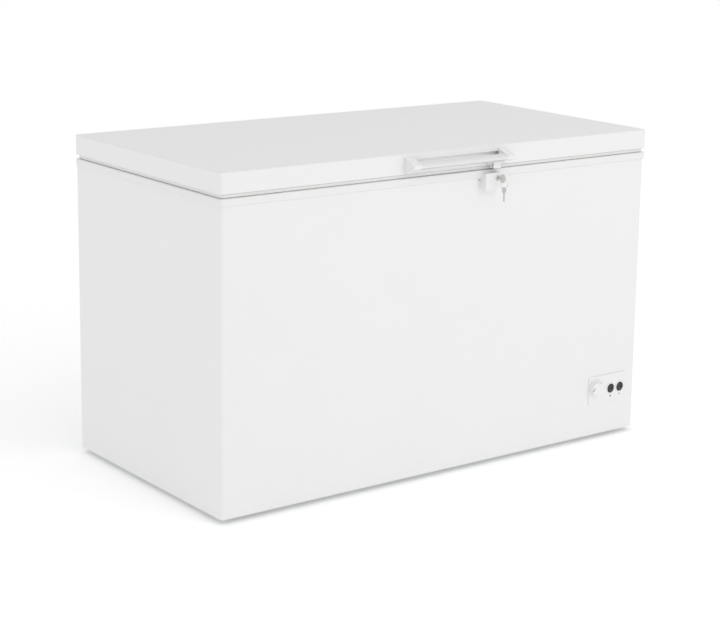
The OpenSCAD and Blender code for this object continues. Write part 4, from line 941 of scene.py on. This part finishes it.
# ---------------------------------------------------------------- baskets
# Hanging baskets of 3 mm steel wire, bent and spot-welded on a grid about 28 mm wide, then dipped in white
# PVC. A heavier wire makes the rim, and two bowed hooks on it rest on the frame's step.

coated = clouded("pvc_dipped_steel_wire", "#F0F0EF", 0.4, 120.0, 2.0, ("#F2F2F1", "#E9E9E7"),
    relief=(0.3, 0.0003), ior=1.54)

# One bent wire: down, across and up again, its two bends filleted
bent_wire, given = new_tree("bent_wire", ("Span", "Float", 0.2), ("Drop", "Float", 0.2),
    ("Bend", "Float", 0.015), ("Wire Radius", "Float", 0.0015), output="Mesh")
line = add(bent_wire, "GeometryNodeMeshLine", {"Count": 4})
index = add(bent_wire, "GeometryNodeInputIndex")
beyond = add(bent_wire, "ShaderNodeMath", {0: index.outputs[0], 1: 1.5}, operation="GREATER_THAN")
across = add(bent_wire, "ShaderNodeMath", {0: beyond.outputs[0], 1: 0.5}, operation="SUBTRACT")
sideways = add(bent_wire, "ShaderNodeMath", {0: across.outputs[0], 1: given["Span"]}, operation="MULTIPLY")
inner = add(bent_wire, "ShaderNodeMath", {0: index.outputs[0], 1: 1.5, 2: 0.6}, operation="COMPARE")
down = add(bent_wire, "ShaderNodeMath", {0: inner.outputs[0], 1: given["Drop"]}, operation="MULTIPLY")
depth = add(bent_wire, "ShaderNodeMath", {0: down.outputs[0], 1: -1.0}, operation="MULTIPLY")
spot = add(bent_wire, "ShaderNodeCombineXYZ", {0: sideways.outputs[0], 2: depth.outputs[0]})
set_out = add(bent_wire, "GeometryNodeSetPosition", {"Geometry": line.outputs["Mesh"],
    "Position": spot.outputs[0]})
curve = add(bent_wire, "GeometryNodeMeshToCurve", {"Mesh": set_out.outputs["Geometry"]})
filleted = add(bent_wire, "GeometryNodeFilletCurve", {"Curve": curve.outputs["Curve"], "Count": 6,
    "Radius": given["Bend"], "Limit Radius": True}, mode="POLY")
section = add(bent_wire, "GeometryNodeCurvePrimitiveCircle", {"Resolution": 8,
    "Radius": given["Wire Radius"]})
drawn = add(bent_wire, "GeometryNodeCurveToMesh", {"Curve": filleted.outputs["Curve"],
    "Profile Curve": section.outputs["Curve"], "Fill Caps": True})
add(bent_wire, "NodeGroupOutput", {"Mesh": drawn.outputs["Mesh"]})

wire_basket, given = new_tree("wire_basket", ("Centre", "Vector", (0, 0, 0)), ("Width", "Float", 0.24),
    ("Length", "Float", 0.54), ("Depth", "Float", 0.2), ("Corner", "Float", 0.02),
    ("Wire Radius", "Float", 0.0015), ("Rim Radius", "Float", 0.003), ("Cross Wires", "Int", 18),
    ("Long Wires", "Int", 8), ("Rings", "Int", 3), ("Hook Width", "Float", 0.18),
    ("Hook Reach", "Float", 0.01), ("Finish", "Material", None))

# Each size that the basket's tree works out, from its inputs and from the sizes above it
size = {socket.name: socket for socket in given}
for label, kind, first, second in (
        ("wire thickness", "MULTIPLY", "Wire Radius", 2.0), ("rim thickness", "MULTIPLY", "Rim Radius", 2.0),
        ("wire Width", "SUBTRACT", "Width", "wire thickness"),
        ("wire Length", "SUBTRACT", "Length", "wire thickness"),
        ("rim Width", "SUBTRACT", "Width", "rim thickness"),
        ("rim Length", "SUBTRACT", "Length", "rim thickness"),
        ("corners", "MULTIPLY", "Corner", 2.2), ("Cross room", "SUBTRACT", "Length", "corners"),
        ("Long room", "SUBTRACT", "Width", "corners"), ("Cross gaps", "SUBTRACT", "Cross Wires", 1.0),
        ("Long gaps", "SUBTRACT", "Long Wires", 1.0), ("Cross pitch", "DIVIDE", "Cross room", "Cross gaps"),
        ("Long pitch", "DIVIDE", "Long room", "Long gaps"), ("Cross start", "MULTIPLY", "Cross room", -0.5),
        ("Long start", "MULTIPLY", "Long room", -0.5), ("layers", "ADD", "Rings", 1.0),
        ("ring gap", "DIVIDE", "Depth", "layers"), ("ring drop", "MULTIPLY", "ring gap", -1.0),
        ("hook bend", "MULTIPLY", "Hook Reach", 0.45), ("half length", "MULTIPLY", "Length", 0.5),
        ("far edge", "SUBTRACT", "half length", "Rim Radius"), ("near edge", "MULTIPLY", "far edge", -1.0)):
    size[label] = add(wire_basket, "ShaderNodeMath", {0: size[first], 1: size.get(second, second)},
        operation=kind).outputs[0]

wires = []
for way, span, turn, axis in (("Cross", "wire Width", 0, 1), ("Long", "wire Length", 90, 0)):
    one = add(wire_basket, "GeometryNodeGroup", node_tree=bent_wire)
    for socket, label in (("Drop", "Depth"), ("Bend", "Corner"), ("Wire Radius", "Wire Radius"),
            ("Span", span)):
        wire_basket.links.new(size[label], one.inputs[socket])
    spun = add(wire_basket, "GeometryNodeTransform", {"Geometry": one.outputs["Mesh"],
        "Rotation": (0, 0, math.radians(turn))})
    first = add(wire_basket, "ShaderNodeCombineXYZ", {axis: size[way + " start"]})
    step = add(wire_basket, "ShaderNodeCombineXYZ", {axis: size[way + " pitch"]})
    row = add(wire_basket, "GeometryNodeMeshLine", {"Count": size[way + " Wires"],
        "Start Location": first.outputs[0], "Offset": step.outputs[0]})
    wires.append(add(wire_basket, "GeometryNodeInstanceOnPoints", {"Points": row.outputs["Mesh"],
        "Instance": spun.outputs["Geometry"]}).outputs["Instances"])
for hoop_name in ("rim", "wire"):
    square = add(wire_basket, "GeometryNodeCurvePrimitiveQuadrilateral", {"Width": size[hoop_name + " Width"],
        "Height": size[hoop_name + " Length"]})
    round_corners = add(wire_basket, "GeometryNodeFilletCurve", {"Curve": square.outputs["Curve"], "Count": 6,
        "Radius": size["Corner"], "Limit Radius": True}, mode="POLY")
    section = add(wire_basket, "GeometryNodeCurvePrimitiveCircle", {"Resolution": 8,
        "Radius": size[hoop_name.title() + " Radius"]})
    hoop = add(wire_basket, "GeometryNodeCurveToMesh", {"Curve": round_corners.outputs["Curve"],
        "Profile Curve": section.outputs["Curve"]})
    if hoop_name == "rim":
        wires.append(hoop.outputs["Mesh"])
down = add(wire_basket, "ShaderNodeCombineXYZ", {2: size["ring drop"]})
row = add(wire_basket, "GeometryNodeMeshLine", {"Count": size["Rings"], "Start Location": down.outputs[0],
    "Offset": down.outputs[0]})
wires.append(add(wire_basket, "GeometryNodeInstanceOnPoints", {"Points": row.outputs["Mesh"],
    "Instance": hoop.outputs["Mesh"]}).outputs["Instances"])
for side, edge in ((-1, "near edge"), (1, "far edge")):
    hook = add(wire_basket, "GeometryNodeGroup", node_tree=bent_wire)
    for socket, label in (("Span", "Hook Width"), ("Drop", "Hook Reach"), ("Bend", "hook bend"),
            ("Wire Radius", "Rim Radius")):
        wire_basket.links.new(size[label], hook.inputs[socket])
    move = add(wire_basket, "ShaderNodeCombineXYZ", {1: size[edge]})
    wires.append(add(wire_basket, "GeometryNodeTransform", {"Geometry": hook.outputs["Mesh"],
        "Translation": move.outputs[0], "Rotation": (math.radians(90 * side), 0, 0)}).outputs["Geometry"])
welded = add(wire_basket, "GeometryNodeJoinGeometry", {"Geometry": wires})
hung = add(wire_basket, "GeometryNodeTransform", {"Geometry": welded.outputs["Geometry"],
    "Translation": size["Centre"]})
close_tree(wire_basket, hung.outputs["Geometry"], size["Finish"], smooth=True)

for node in ("basket_left", "basket_right"):
    low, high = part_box(node)
    body_y = well_y - 0.009
    rim_r = 0.003
    mesh = grown(node + "_wires", wire_basket, {"Centre": ((low.x + high.x) / 2, middle_y, high.z - rim_r),
        "Width": high.x - low.x, "Length": 2 * body_y, "Depth": high.z - low.z - rim_r - 0.0015,
        "Corner": 0.020,
        "Wire Radius": 0.0015, "Rim Radius": rim_r, "Cross Wires": 18, "Long Wires": 8, "Rings": 4,
        "Hook Width": high.x - low.x - 0.066, "Hook Reach": high.y - middle_y - body_y, "Finish": coated})
    fit(node + "_wires", mesh, coated, node, "coated_wire", node)
